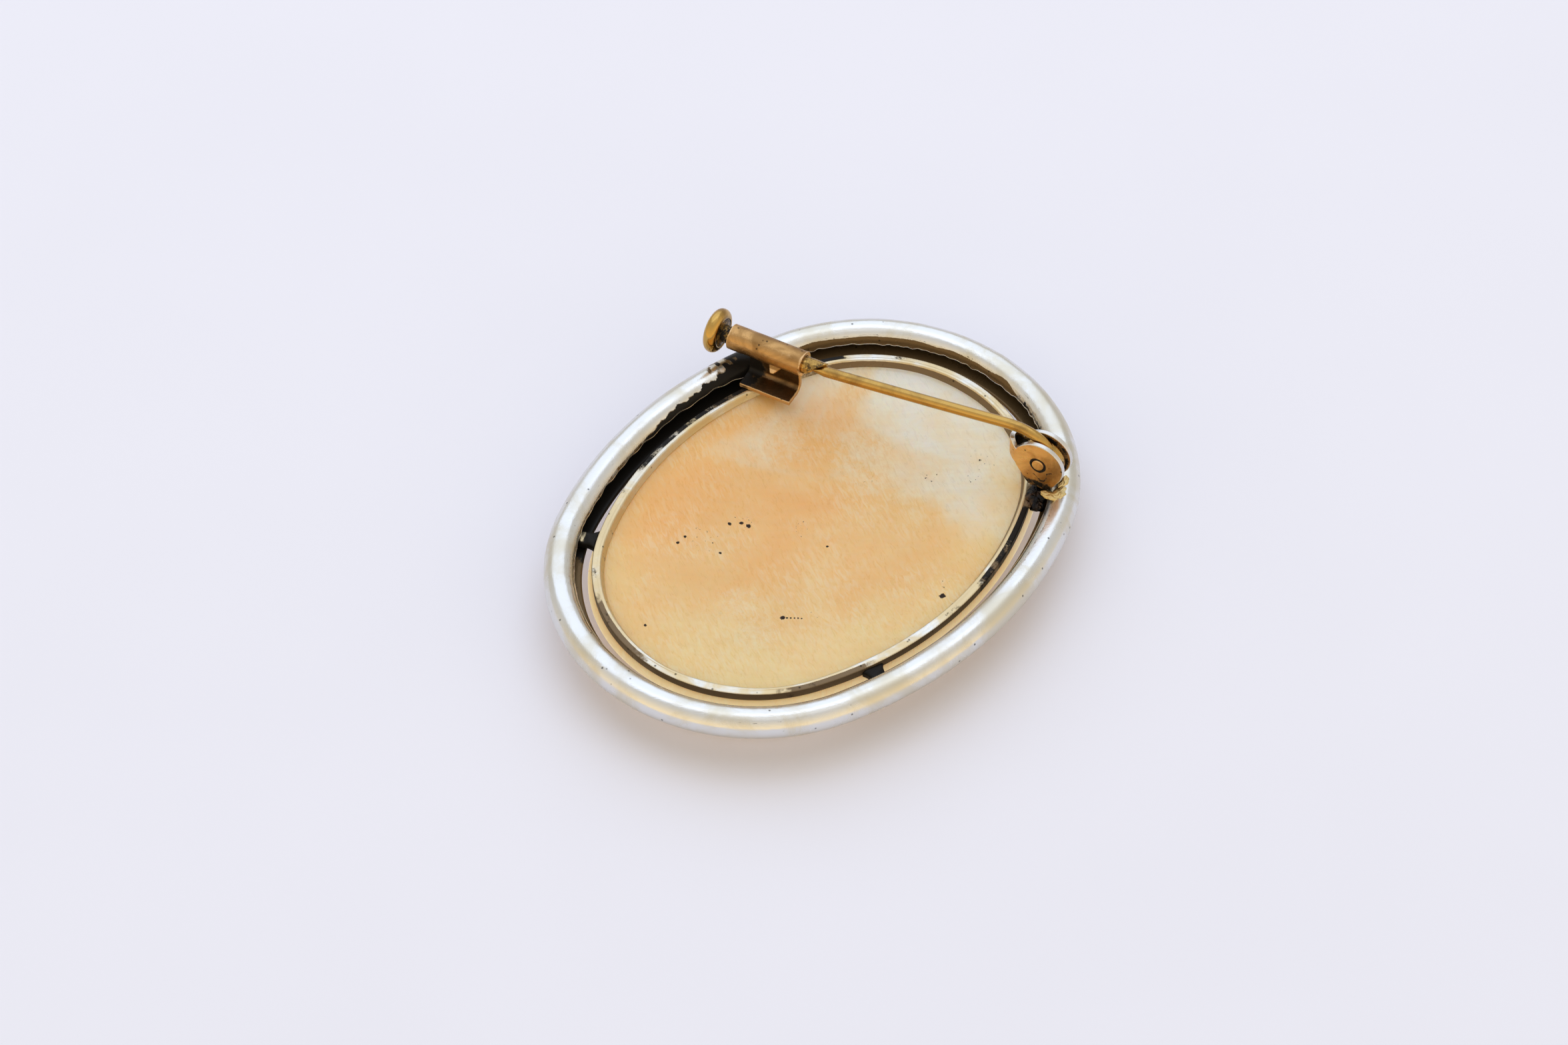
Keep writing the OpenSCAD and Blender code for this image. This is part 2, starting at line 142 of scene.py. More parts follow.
def smooth_line(table: Table, count: int, blur: int) -> np.ndarray:
    """Points spread evenly along a broken line whose corners are smoothed by a running mean.

    Args:
        table: Corners of the line.
        count: How many points.
        blur: Odd number of points in the mean, which weighs them by a raised cosine.

    Returns:
        The points; the line's ends stay where they are.
    """
    knots = np.array(table, float)
    run = np.concatenate([[0], np.cumsum(np.linalg.norm(np.diff(knots, axis=0), axis=1))])
    at = np.linspace(0, run[-1], count)
    line = np.stack([np.interp(at, run, column) for column in knots.T], -1)
    weight = np.hanning(blur + 2)[1:-1] / np.hanning(blur + 2).sum()
    long = np.pad(line, ((blur // 2, blur // 2), (0, 0)), mode="reflect", reflect_type="odd")
    return np.stack([np.convolve(column, weight, "valid") for column in long.T], -1)


def near(points: np.ndarray, places: Table) -> np.ndarray:
    """How near points are to any of some places in plan: 1 at a place, 0 at its reach, smooth between.

    Args:
        points: Points, with x and y first.
        places: x, y and reach of each place.

    Returns:
        Values from 0 to 1.
    """
    table = np.array(places)
    gap = np.linalg.norm(points[..., None, :2] - table[:, :2], axis=-1) / table[:, 2]
    return smooth(1 - gap).max(-1)


@dataclass(frozen=True)
class Oval:
    """An oval of four arcs.

    Attributes:
        wide: Half its width.
        long: Half its length.
        end_r: Radius of its end arcs.
    """

    wide: float
    long: float
    end_r: float

    @property
    def side_r(self) -> float:
        """Radius of the side arcs, from tangency with the end arcs."""
        run = self.long - self.end_r
        return (run**2 + self.wide**2 - self.end_r**2) / (2 * (self.wide - self.end_r))

    @property
    def join(self) -> float:
        """Direction in which side arc and end arc meet."""
        return math.atan2(self.long - self.end_r, self.side_r - self.wide)

    def grown(self, d: float) -> "Oval":
        """The oval moved outwards by d all round."""
        return Oval(self.wide + d, self.long + d, self.end_r + d)

    def even(self, count: int) -> np.ndarray:
        """Outward directions of points spread evenly along the oval.

        The length run since direction 0 grows by an arc's radius times its angle; that is inverted.

        Args:
            count: How many points.

        Returns:
            Angles from 0 up to a full turn, in radians.
        """
        j, r, side = self.join, self.end_r, self.side_r
        angles = np.array([0, j, math.pi - j, math.pi + j, TURN - j, TURN])
        runs = np.cumsum([0, side * j, r * (math.pi - 2 * j), side * 2 * j, r * (math.pi - 2 * j), side * j])
        return np.interp(np.arange(count) / count * runs[-1], runs, angles)

    def at(self, turn: np.ndarray) -> np.ndarray:
        """Points of the oval with a given outward direction: the arc's centre plus radius times direction.

        Args:
            turn: Outward directions, in radians.

        Returns:
            Points, with x and y last.
        """
        c, s = np.cos(turn), np.sin(turn)
        side = np.abs(s) < math.sin(self.join)
        cx = np.where(side, -np.sign(c) * (self.side_r - self.wide), 0.0)
        cy = np.where(side, 0.0, np.sign(s) * (self.long - self.end_r))
        r = np.where(side, self.side_r, self.end_r)
        return np.stack([cx + r * c, cy + r * s], -1)

    def sweep(self, turn: np.ndarray, out: np.ndarray, up: np.ndarray) -> np.ndarray:
        """Carries a profile round the oval: oval point plus out times the outward direction, at height up.

        Args:
            turn: Outward directions, one for each row.
            out: Offsets outwards, for each row and column or for each column.
            up: Heights, in the same way.

        Returns:
            A grid of points, rows by columns by 3.
        """
        out, up, _ = np.broadcast_arrays(out, up, turn[:, None])
        away = np.stack([np.cos(turn), np.sin(turn)], -1)[:, None, :]
        flat = self.at(turn)[:, None, :] + out[..., None] * away
        return np.concatenate([flat, up[..., None]], -1)


@dataclass(frozen=True)
class Line:
    """A level line over the brooch's back.

    Attributes:
        start: x and y where it starts.
        turn: Its angle against the X axis, in degrees.
    """

    start: tuple[float, float]
    turn: float

    def place(self, s: np.ndarray, y: np.ndarray, z: np.ndarray) -> np.ndarray:
        """Points given on the line as points of the brooch, by a turn about Z and a shift.

        Args:
            s: Distance along the line.
            y: Distance across it, to its left.
            z: Height over the collet's back rim.

        Returns:
            Points, with x, y and z last.
        """
        s, y, z = np.broadcast_arrays(s, y, z)
        c, n = math.cos(math.radians(self.turn)), math.sin(math.radians(self.turn))
        return np.stack([self.start[0] + c * s - n * y, self.start[1] + n * s + c * y, z + RIM_Z], -1)


PIN_LINE = Line((12.17713, 16.57715), 14.0)


@dataclass
class Patch:
    """A grid of points with a quad between neighbours.

    Attributes:
        points: Rows by columns by 3, in millimetres.
        round_rows: Whether the last row joins the first.
        round_cols: Whether the last column joins the first.
        capped: Whether the first and the last row are closed by a fan round their middle.
        flip: Whether the faces are turned over.
        marks: Values by attribute name: for each point, each row, each column or all alike.
    """

    points: np.ndarray
    round_rows: bool = False
    round_cols: bool = False
    capped: bool = False
    flip: bool = False
    marks: Marks = field(default_factory=dict)

    def faces(self) -> tuple[np.ndarray, np.ndarray]:
        """Quads between neighbours and triangles of the caps.

        Returns:
            Point numbers of the quads and of the triangles; the caps' middles come after the grid's points.
        """
        rows, cols = self.points.shape[:2]
        steps = np.arange(rows - (not self.round_rows)), np.arange(cols - (not self.round_cols))
        i, j = np.meshgrid(*steps, indexing="ij")
        up, on = (i + 1) % rows, (j + 1) % cols
        quads = np.stack([i * cols + j, i * cols + on, up * cols + on, up * cols + j], -1).reshape(-1, 4)
        tris = np.zeros((0, 3), int)
        if self.capped:
            here, after, middle = np.arange(cols), (np.arange(cols) + 1) % cols, np.full(cols, rows * cols)
            last = (rows - 1) * cols
            tris = np.concatenate([np.stack([middle, after, here], -1),
                                   np.stack([last + here, last + after, middle + 1], -1)])
        return (quads[:, ::-1], tris[:, ::-1]) if self.flip else (quads, tris)

    def with_middles(self, grid: np.ndarray) -> np.ndarray:
        """A grid's values in one list, then, for caps, the means of its first and its last row."""
        cells = grid.reshape(-1, *grid.shape[2:])
        return np.concatenate([cells, grid[[0, -1]].mean(1)]) if self.capped else cells

    def vertices(self) -> np.ndarray:
        """The grid's points and then the middles of its caps."""
        return self.with_middles(self.points)

    def values(self, name: str) -> np.ndarray:
        """An attribute's value at each vertex, 0 where the patch doesn't hold it."""
        return self.with_middles(np.broadcast_to(self.marks.get(name, 0.0), self.points.shape[:2]))


def to_mesh(name: str, patches: list[Patch]) -> bpy.types.Object:
    """Joins patches into one smooth mesh object at the origin.

    Args:
        name: The object's name.
        patches: The patches, in millimetres.

    Returns:
        The new object, linked to the scene.
    """
    points = [patch.vertices() * MM for patch in patches]
    starts = np.cumsum([0] + [len(part) for part in points])
    cells = [(part + start) for patch, start in zip(patches, starts) for part in patch.faces()]
    corner = np.concatenate([part.ravel() for part in cells])
    size = np.concatenate([np.full(len(part), part.shape[1]) for part in cells])
    mesh = bpy.data.meshes.new(name)
    mesh.vertices.add(starts[-1])
    mesh.vertices.foreach_set("co", np.concatenate(points).astype(np.float32).ravel())
    mesh.loops.add(len(corner))
    mesh.loops.foreach_set("vertex_index", corner.astype(np.int32))
    mesh.polygons.add(len(size))
    mesh.polygons.foreach_set("loop_start", np.concatenate([[0], np.cumsum(size)[:-1]]).astype(np.int32))
    mesh.update(calc_edges=True)
    mesh.validate()
    for mark in sorted({m for patch in patches for m in patch.marks}):
        values = np.concatenate([patch.values(mark) for patch in patches]).astype(np.float32)
        mesh.attributes.new(mark, "FLOAT", "POINT").data.foreach_set("value", values)
    mesh.shade_smooth()
    obj = bpy.data.objects.new(name, mesh)
    bpy.context.scene.collection.objects.link(obj)
    return obj


def thicken(obj: bpy.types.Object, wall: float, rounding: float, inwards: bool = True) -> None:
    """Gives a sheet its wall and rounds the edges sharper than 40 degrees.

    Args:
        obj: The sheet.
        wall: Thickness, in millimetres.
        rounding: Width of the rounded edges, in millimetres.
        inwards: Whether the wall grows against the sheet's normals.
    """
    solid = obj.modifiers.new("wall", "SOLIDIFY")
    solid.thickness = wall * MM
    solid.offset = -1.0 if inwards else 1.0
    solid.use_even_offset = True
    bevel = obj.modifiers.new("edges", "BEVEL")
    bevel.width = rounding * MM
    bevel.segments = 3
    bevel.limit_method = "ANGLE"
    bevel.angle_limit = math.radians(40)
    bevel.harden_normals = True


def wire(path: np.ndarray, side: np.ndarray, radii: np.ndarray, flat: np.ndarray, count: int) -> np.ndarray:
    """Carries a round or flattened section along a path in a plane.

    A ring is path point + radius * (cos a * normal + flat * sin a * side), with the normal across the path.

    Args:
        path: Points, rows by 3.
        side: Unit vector across the path's plane.
        radii: Radius for each row.
        flat: Width across the plane as a share of the radius, for each row.
        count: Points round a ring.

    Returns:
        A grid of points, rows by count by 3.
    """
    run = np.gradient(path, axis=0)
    run /= np.linalg.norm(run, axis=1, keepdims=True)
    c, s = np.cos(around(count))[:, None], np.sin(around(count))[:, None]
    across = (radii * flat)[:, None, None] * s * side
    return path[:, None] + radii[:, None, None] * c * np.cross(side, run)[:, None] + across


def lathe(along: np.ndarray, radii: np.ndarray, count: int) -> np.ndarray:
    """Turns a profile about the sliding tube's axis: a ring of each radius at each s.

    Args:
        along: s of each profile point.
        radii: Radius of each profile point.
        count: Points round a ring.

    Returns:
        A grid of points, rows by count by 3.
    """
    a, r = around(count), radii[:, None]
    return PIN_LINE.place(along[:, None], r * np.cos(a), CATCH_Z + r * np.sin(a))


# ---------------------------------------------------------------- finishes

Colour = tuple[float, float, float]
Socket = bpy.types.NodeSocket
Sockets = bpy.types.bpy_prop_collection
Source = Socket | float | tuple


class Tree:
    """A short way to write node trees: most calls add a node, fill its inputs and hand back its output.

    Attributes:
        tree: The node tree that is written.
    """

    def __init__(self, tree: bpy.types.NodeTree) -> None:
        """Starts on a node tree that exists."""
        self.tree = tree

    def fill(self, node: bpy.types.Node, inputs: dict[str | int, Source]) -> None:
        """Links sockets to a node's inputs, or sets their values.

        Args:
            node: The node.
            inputs: Values or sockets, by input name or number.
        """
        for key, value in inputs.items():
            socket = node.inputs[key]
            if isinstance(value, Socket):
                self.tree.links.new(value, socket)
            else:
                socket.default_value = (*value, 1.0) if socket.type == "RGBA" else value

    def put(self, kind: str, inputs: dict[str | int, Source], **settings: object) -> bpy.types.Node:
        """Adds a node.

        Args:
            kind: Node type without its ShaderNode prefix.
            inputs: Values or sockets, by input name or number.
            settings: Properties of the node.

        Returns:
            The node.
        """
        node = self.tree.nodes.new("ShaderNode" + kind)
        for key, value in settings.items():
            setattr(node, key, value)
        self.fill(node, inputs)
        return node

    def effect(self, group: bpy.types.NodeTree, **inputs: Source) -> Sockets:
        """The outputs of a node group that is placed with its own values."""
        return self.put("Group", inputs, node_tree=group).outputs

    def math(self, op: str, a: Source, b: Source = 0.0, c: Source = 0.0) -> Socket:
        """An operation on up to three numbers."""
        return self.put("Math", {0: a, 1: b, 2: c}, operation=op).outputs[0]

    def times(self, a: Source, b: Source) -> Socket:
        """A product of two numbers."""
        return self.math("MULTIPLY", a, b)

    def line(self, a: Source, slope: Source, plus: Source) -> Socket:
        """A number times a slope, plus another number."""
        return self.math("MULTIPLY_ADD", a, slope, plus)

    def most(self, a: Source, b: Source) -> Socket:
        """The higher of two numbers."""
        return self.math("MAXIMUM", a, b)

    def ramp(self, value: Source, low: float, high: float, first: float = 0.0, last: float = 1.0) -> Socket:
        """Smooth step of a value between low and high, put out as a number from first to last."""
        ends = {0: value, 1: low, 2: high, 3: first, 4: last}
        return self.put("MapRange", ends, interpolation_type="SMOOTHSTEP").outputs[0]

    def mix(self, share: Source, a: Source, b: Source) -> Socket:
        """Mixes two colours by a share of the second."""
        return self.put("Mix", {0: share, 6: a, 7: b}, data_type="RGBA").outputs[2]

    def noise(self, at: Source, scale: float, depth: float, rough: float = 0.55, bend: float = 0.0) -> Socket:
        """Fractal noise round 0.5 at a point, scaled in features per metre, with finer ones to a depth."""
        inputs = {"Vector": at, "Scale": scale, "Detail": depth, "Roughness": rough, "Distortion": bend}
        return self.put("TexNoise", inputs).outputs["Fac"]

    def swing(self, at: Source, scale: float, depth: float, rough: float = 0.55, bend: float = 0.0) -> Socket:
        """The same noise round 0."""
        return self.math("SUBTRACT", self.noise(at, scale, depth, rough, bend), 0.5)

    def stretched(self, at: Source, turn: tuple[float, float, float], longer: float) -> Socket:
        """Coordinates of a turned frame, in which features grow longer along its X axis."""
        inputs = {"Vector": at, "Rotation": turn, "Scale": (longer, 1, 1)}
        return self.put("Mapping", inputs, vector_type="TEXTURE").outputs[0]

    def where(self) -> Socket:
        """Object coordinates."""
        return self.put("TexCoord", {}).outputs["Object"]

    def mark(self, name: str) -> Socket:
        """The piece's own value at each of its points."""
        return self.put("Attribute", {}, attribute_name=name).outputs["Fac"]


def make_group(name: str, inputs: dict[str, float | None], outputs: tuple[str, ...],
               build: Callable[[Tree, Sockets], tuple[Socket, ...]]) -> bpy.types.NodeTree:
    """Makes a shader node group with named inputs and outputs.

    Args:
        name: The group's name.
        inputs: Start value of each number, or None for a vector.
        outputs: Names of the numbers that it puts out.
        build: Adds the nodes after the input node's sockets, and returns the source of each output.

    Returns:
        The group.
    """
    group = bpy.data.node_groups.new(name, "ShaderNodeTree")
    for key, start in inputs.items():
        kind = "NodeSocketVector" if start is None else "NodeSocketFloat"
        socket = group.interface.new_socket(key, in_out="INPUT", socket_type=kind)
        if start is not None:
            socket.default_value = start
    for key in outputs:
        group.interface.new_socket(key, in_out="OUTPUT", socket_type="NodeSocketFloat")
    entry, leave = group.nodes.new("NodeGroupInput"), group.nodes.new("NodeGroupOutput")
    for key, source in zip(outputs, build(Tree(group), entry.outputs)):
        group.links.new(source, leave.inputs[key])
    return group


class Effects:
    """The effects that several finishes share, each a node group that is made once.

    Attributes:
        grime_and_painted_dark: Dirty places and painted dark reflections and shade, with a ragged edge.
        scuffs: Fine rubbed lines and a soft haze.
        pits: Small pits.
    """

    def __init__(self) -> None:
        """Makes the groups."""
        where: dict[str, float | None] = {"Where": None}
        dirt = where | {"Dirt": 0.0, "Spread": 0.0}
        self.grime_and_painted_dark = make_group("ragged_grime_and_painted_dark", dirt, ("Mask",), self.add_grime_and_painted_dark)
        self.scuffs = make_group("fine_scuffs", where, ("Height", "Haze"), self.add_scuffs)
        self.pits = make_group("small_pits", where | {"Share": 0.1}, ("Mask",), self.add_pits)

    @staticmethod
    def add_grime_and_painted_dark(t: Tree, given: Sockets) -> tuple[Socket]:
        """Dirty places and painted dark reflections and shade, with a ragged edge.

        A steep step of 1.6 * the marked value + spread + 1.5 * coarse noise + 0.9 * fine noise.

        Args:
            t: The group's tree.
            given: Where, Dirt and Spread.

        Returns:
            The mask.
        """
        total = t.line(given["Dirt"], 1.6, given["Spread"])
        total = t.line(t.swing(given["Where"], 900, 4), 1.5, total)
        return (t.ramp(t.line(t.swing(given["Where"], 5200, 3, 0.7), 0.9, total), 0.3, 0.75),)

    @staticmethod
    def add_scuffs(t: Tree, given: Sockets) -> tuple[Socket, Socket]:
        """Fine rubbed lines in two directions: thin crests of noises stretched along each direction.

        Args:
            t: The group's tree.
            given: Where.

        Returns:
            The lines' height and a mask of large hazy patches.
        """
        one = t.noise(t.stretched(given["Where"], (0.3, 0.2, 0.7), 9), 5200, 2, 0.5, 0.4)
        two = t.noise(t.stretched(given["Where"], (0.1, 0.6, 2.1), 12), 4600, 2, 0.5, 0.3)
        lines = t.most(t.ramp(one, 0.56, 0.64), t.ramp(two, 0.58, 0.64))
        return lines, t.ramp(t.noise(given["Where"], 260, 3), 0.35, 0.7)

    @staticmethod
    def add_pits(t: Tree, given: Sockets) -> tuple[Socket]:
        """Small pits: a share of cells, chosen by the cell's own random value, each marked near its middle.

        Args:
            t: The group's tree.
            given: Where and Share.

        Returns:
            The mask.
        """
        cells = t.put("TexVoronoi", {"Vector": given["Where"], "Scale": 2600.0, "Randomness": 1.0}).outputs
        random = t.put("SeparateColor", {0: cells["Color"]}).outputs[0]
        chosen = t.math("LESS_THAN", random, given["Share"])
        return (t.times(chosen, t.ramp(cells["Distance"], 0.38, 0.12)),)


EFFECTS = Effects()


def new_material(name: str) -> tuple[bpy.types.Material, Tree, bpy.types.Node]:
    """Starts a node material.

    Args:
        name: Its name.

    Returns:
        The material, its tree and its Principled BSDF.
    """
    material = bpy.data.materials.new(name)
    material.use_nodes = True
    return material, Tree(material.node_tree), material.node_tree.nodes["Principled BSDF"]


def spots(t: Tree, where: Socket, table: Table) -> Source:
    """Mask of some uneven spots, seen in plan.

    Args:
        t: The material's tree.
        where: Object coordinates.
        table: x, y and radius of each spot, in millimetres.

    Returns:
        1 where the level distance to a spot's middle, times a noise round 1, is less than its radius.
    """
    level = t.put("VectorMath", {0: where, 1: (1.0, 1.0, 0.0)}, operation="MULTIPLY").outputs[0]
    wobble = t.line(t.noise(where, 3600, 3, 0.7), 1.6, 0.2)
    total: Source = 0.0
    for x, y, radius in table:
        gap = t.put("VectorMath", {0: level, 1: (x * MM, y * MM, 0.0)}, operation="DISTANCE").outputs["Value"]
        total = t.most(t.ramp(t.times(gap, wobble), radius * MM, radius * 0.75 * MM), total)
    return total


@dataclass(frozen=True)
class Metal:
    """A worn metal: bright, with tarnish in clouds, and a second colour and a near black where a piece marks
    them; both marks also carry some painted light and shade.

    Attributes:
        name: The material's name.
        bright: Colour of clean metal.
        tarnish: Colour of the tarnish.
        accent: Colour where the piece's accent is high; some pieces use it for painted shade, a painted dark
            reflection and a painted highlight.
        accent_metal: How metallic that colour is.
        grime_and_painted_dark: Colour of dirty places and pits, and of the painted dark reflections and shade
            that the same marks carry.
        grime_rough: Least roughness of dirt.
        tarnish_share: How much of the surface is tarnished, 0 to 1.
        tarnish_scale: Size of the clouds, in features per metre.
        cloud_edge: Half the width of the step between bright and tarnished.
        rough: Roughness where clean.
        dull: Roughness where tarnished.
        spread: Added to the near black mark everywhere: 0 gives much of it, -0.5 little.
        pits: Share of pitted cells.
        bump: Depth of the bumps, in millimetres.
    """

    name: str
    bright: Colour
    tarnish: Colour
    accent: Colour
    accent_metal: float = 1.0
    grime_and_painted_dark: Colour = (0.011, 0.0095, 0.008)
    grime_rough: float = 0.34
    tarnish_share: float = 0.4
    tarnish_scale: float = 240.0
    cloud_edge: float = 0.12
    rough: float = 0.2
    dull: float = 0.34
    spread: float = -0.3
    pits: float = 0.05
    bump: float = 0.01

    def material(self) -> bpy.types.Material:
        """Builds the material.

        Colour goes from bright to tarnish by a cloud noise, to the accent by the piece's own values with a
        ragged edge, then to the near black of dirty places and of painted dark reflections and shade. That
        near black is no metal. Scuffs and pits are sunk, and the near black stands up a little.

        Returns:
            The material.
        """
        material, t, bsdf = new_material(self.name)
        where = t.where()
        clouds, middle = t.noise(where, self.tarnish_scale, 5, 0.6, 0.6), 0.66 - 0.32 * self.tarnish_share
        stained = t.ramp(clouds, middle - self.cloud_edge, middle + self.cloud_edge)
        marked = t.ramp(t.line(t.swing(where, 1400, 4, 0.65, 0.5), 0.9, t.mark("accent")), 0.35, 0.65)
        grime_and_painted_dark = t.effect(EFFECTS.grime_and_painted_dark, Where=where, Dirt=t.mark("dirt"), Spread=self.spread)["Mask"]
        scuffs = t.effect(EFFECTS.scuffs, Where=where)
        pits = t.effect(EFFECTS.pits, Where=where, Share=self.pits)["Mask"]
        colour = t.mix(marked, t.mix(stained, self.bright, self.tarnish), self.accent)
        rough = t.line(scuffs["Haze"], 0.1, t.ramp(stained, 0, 1, self.rough, self.dull))
        height = t.math("SUBTRACT", t.times(scuffs["Height"], -0.4), pits)
        height = t.line(t.noise(where, 1500, 3), 0.5, t.line(grime_and_painted_dark, 0.8, height))
        bump = t.put("Bump", {"Height": height, "Distance": self.bump * MM, "Strength": 0.6})
        t.fill(bsdf, {
            "Base Color": t.mix(t.most(grime_and_painted_dark, t.times(pits, 0.75)), colour, self.grime_and_painted_dark),
            "Roughness": t.most(rough, t.times(grime_and_painted_dark, self.grime_rough)),
            "Metallic": t.times(t.ramp(grime_and_painted_dark, 0, 1, 1.0, 0.0), t.ramp(marked, 0, 1, 1.0, self.accent_metal)),
            "Specular IOR Level": 0.12,
            "Normal": bump.outputs[0],
        })
        return material


@dataclass(frozen=True)
class PolishedShell:
    """Polished shell: apricot and cream in clouds, pearly at the far side, with fine grain and dark flecks.

    Attributes:
        apricot: Deep colour.
        cream: Pale colour.
        pearl: Greyish white of the thin places.
        milk: Colour of the fine pale streaks.
        amber: Colour of the broad darker rows.
        chalk: Colour of rubbed patches.
        glow: Colour of a painted emission on the thin rim that stands in for light coming through the shell.
        carved: Colour of the raised carving in front.
        fleck: Colour of the dark flecks.
        flecks: x, y and radius of dark flecks in the back.
        flaked: The same for patches of tiny flecks.
        chalky: The same for rubbed patches.
    """

    apricot: Colour = (0.85, 0.43, 0.13)
    cream: Colour = (0.845, 0.59, 0.28)
    pearl: Colour = (0.80, 0.745, 0.68)
    milk: Colour = (0.96, 0.84, 0.66)
    amber: Colour = (0.66, 0.40, 0.18)
    chalk: Colour = (0.93, 0.86, 0.74)
    # painted light: emission colour that stands in for light through the thin rim
    glow: Colour = (0.92, 0.72, 0.48)
    carved: Colour = (0.86, 0.80, 0.72)
    fleck: Colour = (0.03, 0.02, 0.015)
    flecks: Table = (
        (13.69, 1.5, 0.3), (-5.41, -3.68, 0.2), (-4.72, -3.5, 0.26), (-6.1, -4.5, 0.18), (-7.78, -8.41, 0.15),
        (-7.75, -9.4, 0.17), (-4.38, -7.57, 0.15), (1.92, -0.43, 0.13), (-3.11, -18.48, 0.15),
        (4.72, -9.38, 0.24), (5.0, -9.12, 0.11), (5.25, -8.92, 0.1), (5.5, -8.72, 0.1), (5.75, -8.52, 0.1),
        (6.0, -8.33, 0.09))
    flaked: Table = (
        (-5.4, -3.9, 1.4), (-6.5, -7.5, 1.6), (-1.29, -0.48, 1.0), (3.35, 11.73, 0.8), (6.1, 16.3, 1.5),
        (6.5, 14.0, 0.8), (-0.33, 7.52, 0.9), (12.9, 2.9, 0.7), (6.6, -7.2, 0.8))
    chalky: Table = (
        (-0.33, 7.52, 1.6), (-9.5, 5.6, 3.0), (0.6, -10.8, 2.0), (4.2, -12.4, 2.0), (-3.0, 9.5, 3.0))

    def clouded(self, t: Tree, where: Socket, x: Socket, y: Socket) -> Socket:
        """The ground colour.

        The share of cream is a smooth step of clouds + 20 x + 1100 y^2, and then that of pearl is one of
        clouds + 35 y - 5 x, in metres. The clouds are a broad and a smaller noise.

        Args:
            t: The material's tree.
            where: Object coordinates.
            x: Their x.
            y: Their y.

        Returns:
            The colour.
        """
        broad, small = t.swing(where, 75, 4, 0.5, 0.8), t.swing(where, 280, 4, 0.6, 0.6)
        clouds = t.line(broad, 1.7, t.times(small, 0.55))
        lean = t.line(x, 20.0, t.times(t.times(y, y), 1100.0))
        far = t.line(y, 35.0, t.times(x, -5.0))
        colour = t.mix(t.ramp(t.math("ADD", clouds, lean), -0.55, 0.8), self.apricot, self.cream)
        return t.mix(t.ramp(t.math("ADD", clouds, far), 0.15, 0.95), colour, self.pearl)

    def material(self) -> bpy.types.Material:
        """Builds the material.

        Over the ground lie pale streaks and darker rows, two stretched noises that also make the bumps, then
        rubbed patches, the whiter carving and flecks on the back. The thin rim has a painted emission that
        stands in for light through the shell, as its own values say.

        Returns:
            The material.
        """
        material, t, bsdf = new_material("polished_shell")
        where = t.where()
        x, y, z = t.put("SeparateXYZ", {0: where}).outputs
        grain = t.noise(t.stretched(where, (0, 0, math.radians(-27)), 3.4), 3000, 2, 0.55, 0.9)
        rows = t.noise(t.stretched(where, (0, 0, math.radians(42)), 6), 1500, 2, 0.5, 0.6)
        streaks = t.times(t.ramp(grain, 0.42, 0.68), t.ramp(t.noise(where, 170, 2), 0.35, 0.62, 0.15, 1.0))
        scratched = t.ramp(t.noise(where, 1900, 4, 0.7), 0.4, 0.66, 0.0, 0.2)
        crumbs = t.times(spots(t, where, self.flaked), t.ramp(t.noise(where, 3300, 2, 0.6), 0.66, 0.7))
        behind = t.ramp(z, 2.6 * MM, 2.9 * MM)
        dark = t.times(t.most(spots(t, where, self.flecks), crumbs), behind)
        layers = (
            (t.times(streaks, 0.24), self.milk),
            (t.ramp(rows, 0.4, 0.7, 0.0, 0.1), self.amber),
            (t.times(spots(t, where, self.chalky), scratched), self.chalk),
            (t.mark("raised"), self.carved),
            (dark, self.fleck))
        colour = self.clouded(t, where, x, y)
        for share, over in layers:
            colour = t.mix(share, colour, over)
        bump = t.put("Bump", {"Height": t.math("ADD", grain, rows), "Distance": 0.03 * MM, "Strength": 0.6})
        t.fill(bsdf, {
            "Base Color": colour,
            "Metallic": dark,
            "Roughness": t.ramp(grain, 0.3, 0.7, 0.26, 0.4),
            # painted light: an emission on the thin rim stands in for light that passes through the shell
            "Emission Color": t.mix(t.mark("glow"), (0.0, 0.0, 0.0), self.glow),
            "Emission Strength": 0.42,
            "Subsurface Weight": 0.75,
            "Subsurface Radius": (1.0, 0.62, 0.32),
            "Subsurface Scale": 7.0 * MM,
            "Normal": bump.outputs[0],
        })
        return material


@dataclass(frozen=True)
class Paper:
    """The pale floor.

    Attributes:
        colour: Its colour.
    """

    colour: Colour = (0.85, 0.865, 0.975)

    def material(self) -> bpy.types.Material:
        """Builds a plain pale matt surface with the faintest mottle.

        Returns:
            The material.
        """
        material, t, bsdf = new_material("pale_floor")
        mottle = t.ramp(t.noise(t.where(), 30, 2), 0.3, 0.7)
        colour = t.mix(mottle, self.colour, tuple(c * 0.99 for c in self.colour))
        t.fill(bsdf, {"Base Color": colour, "Roughness": 0.9, "Specular IOR Level": 0.1})
        return material


def once(finish: Metal | PolishedShell) -> Any:
    """A dataclass field with a finish's material, which is made with the object that holds it."""
    return field(default_factory=finish.material)


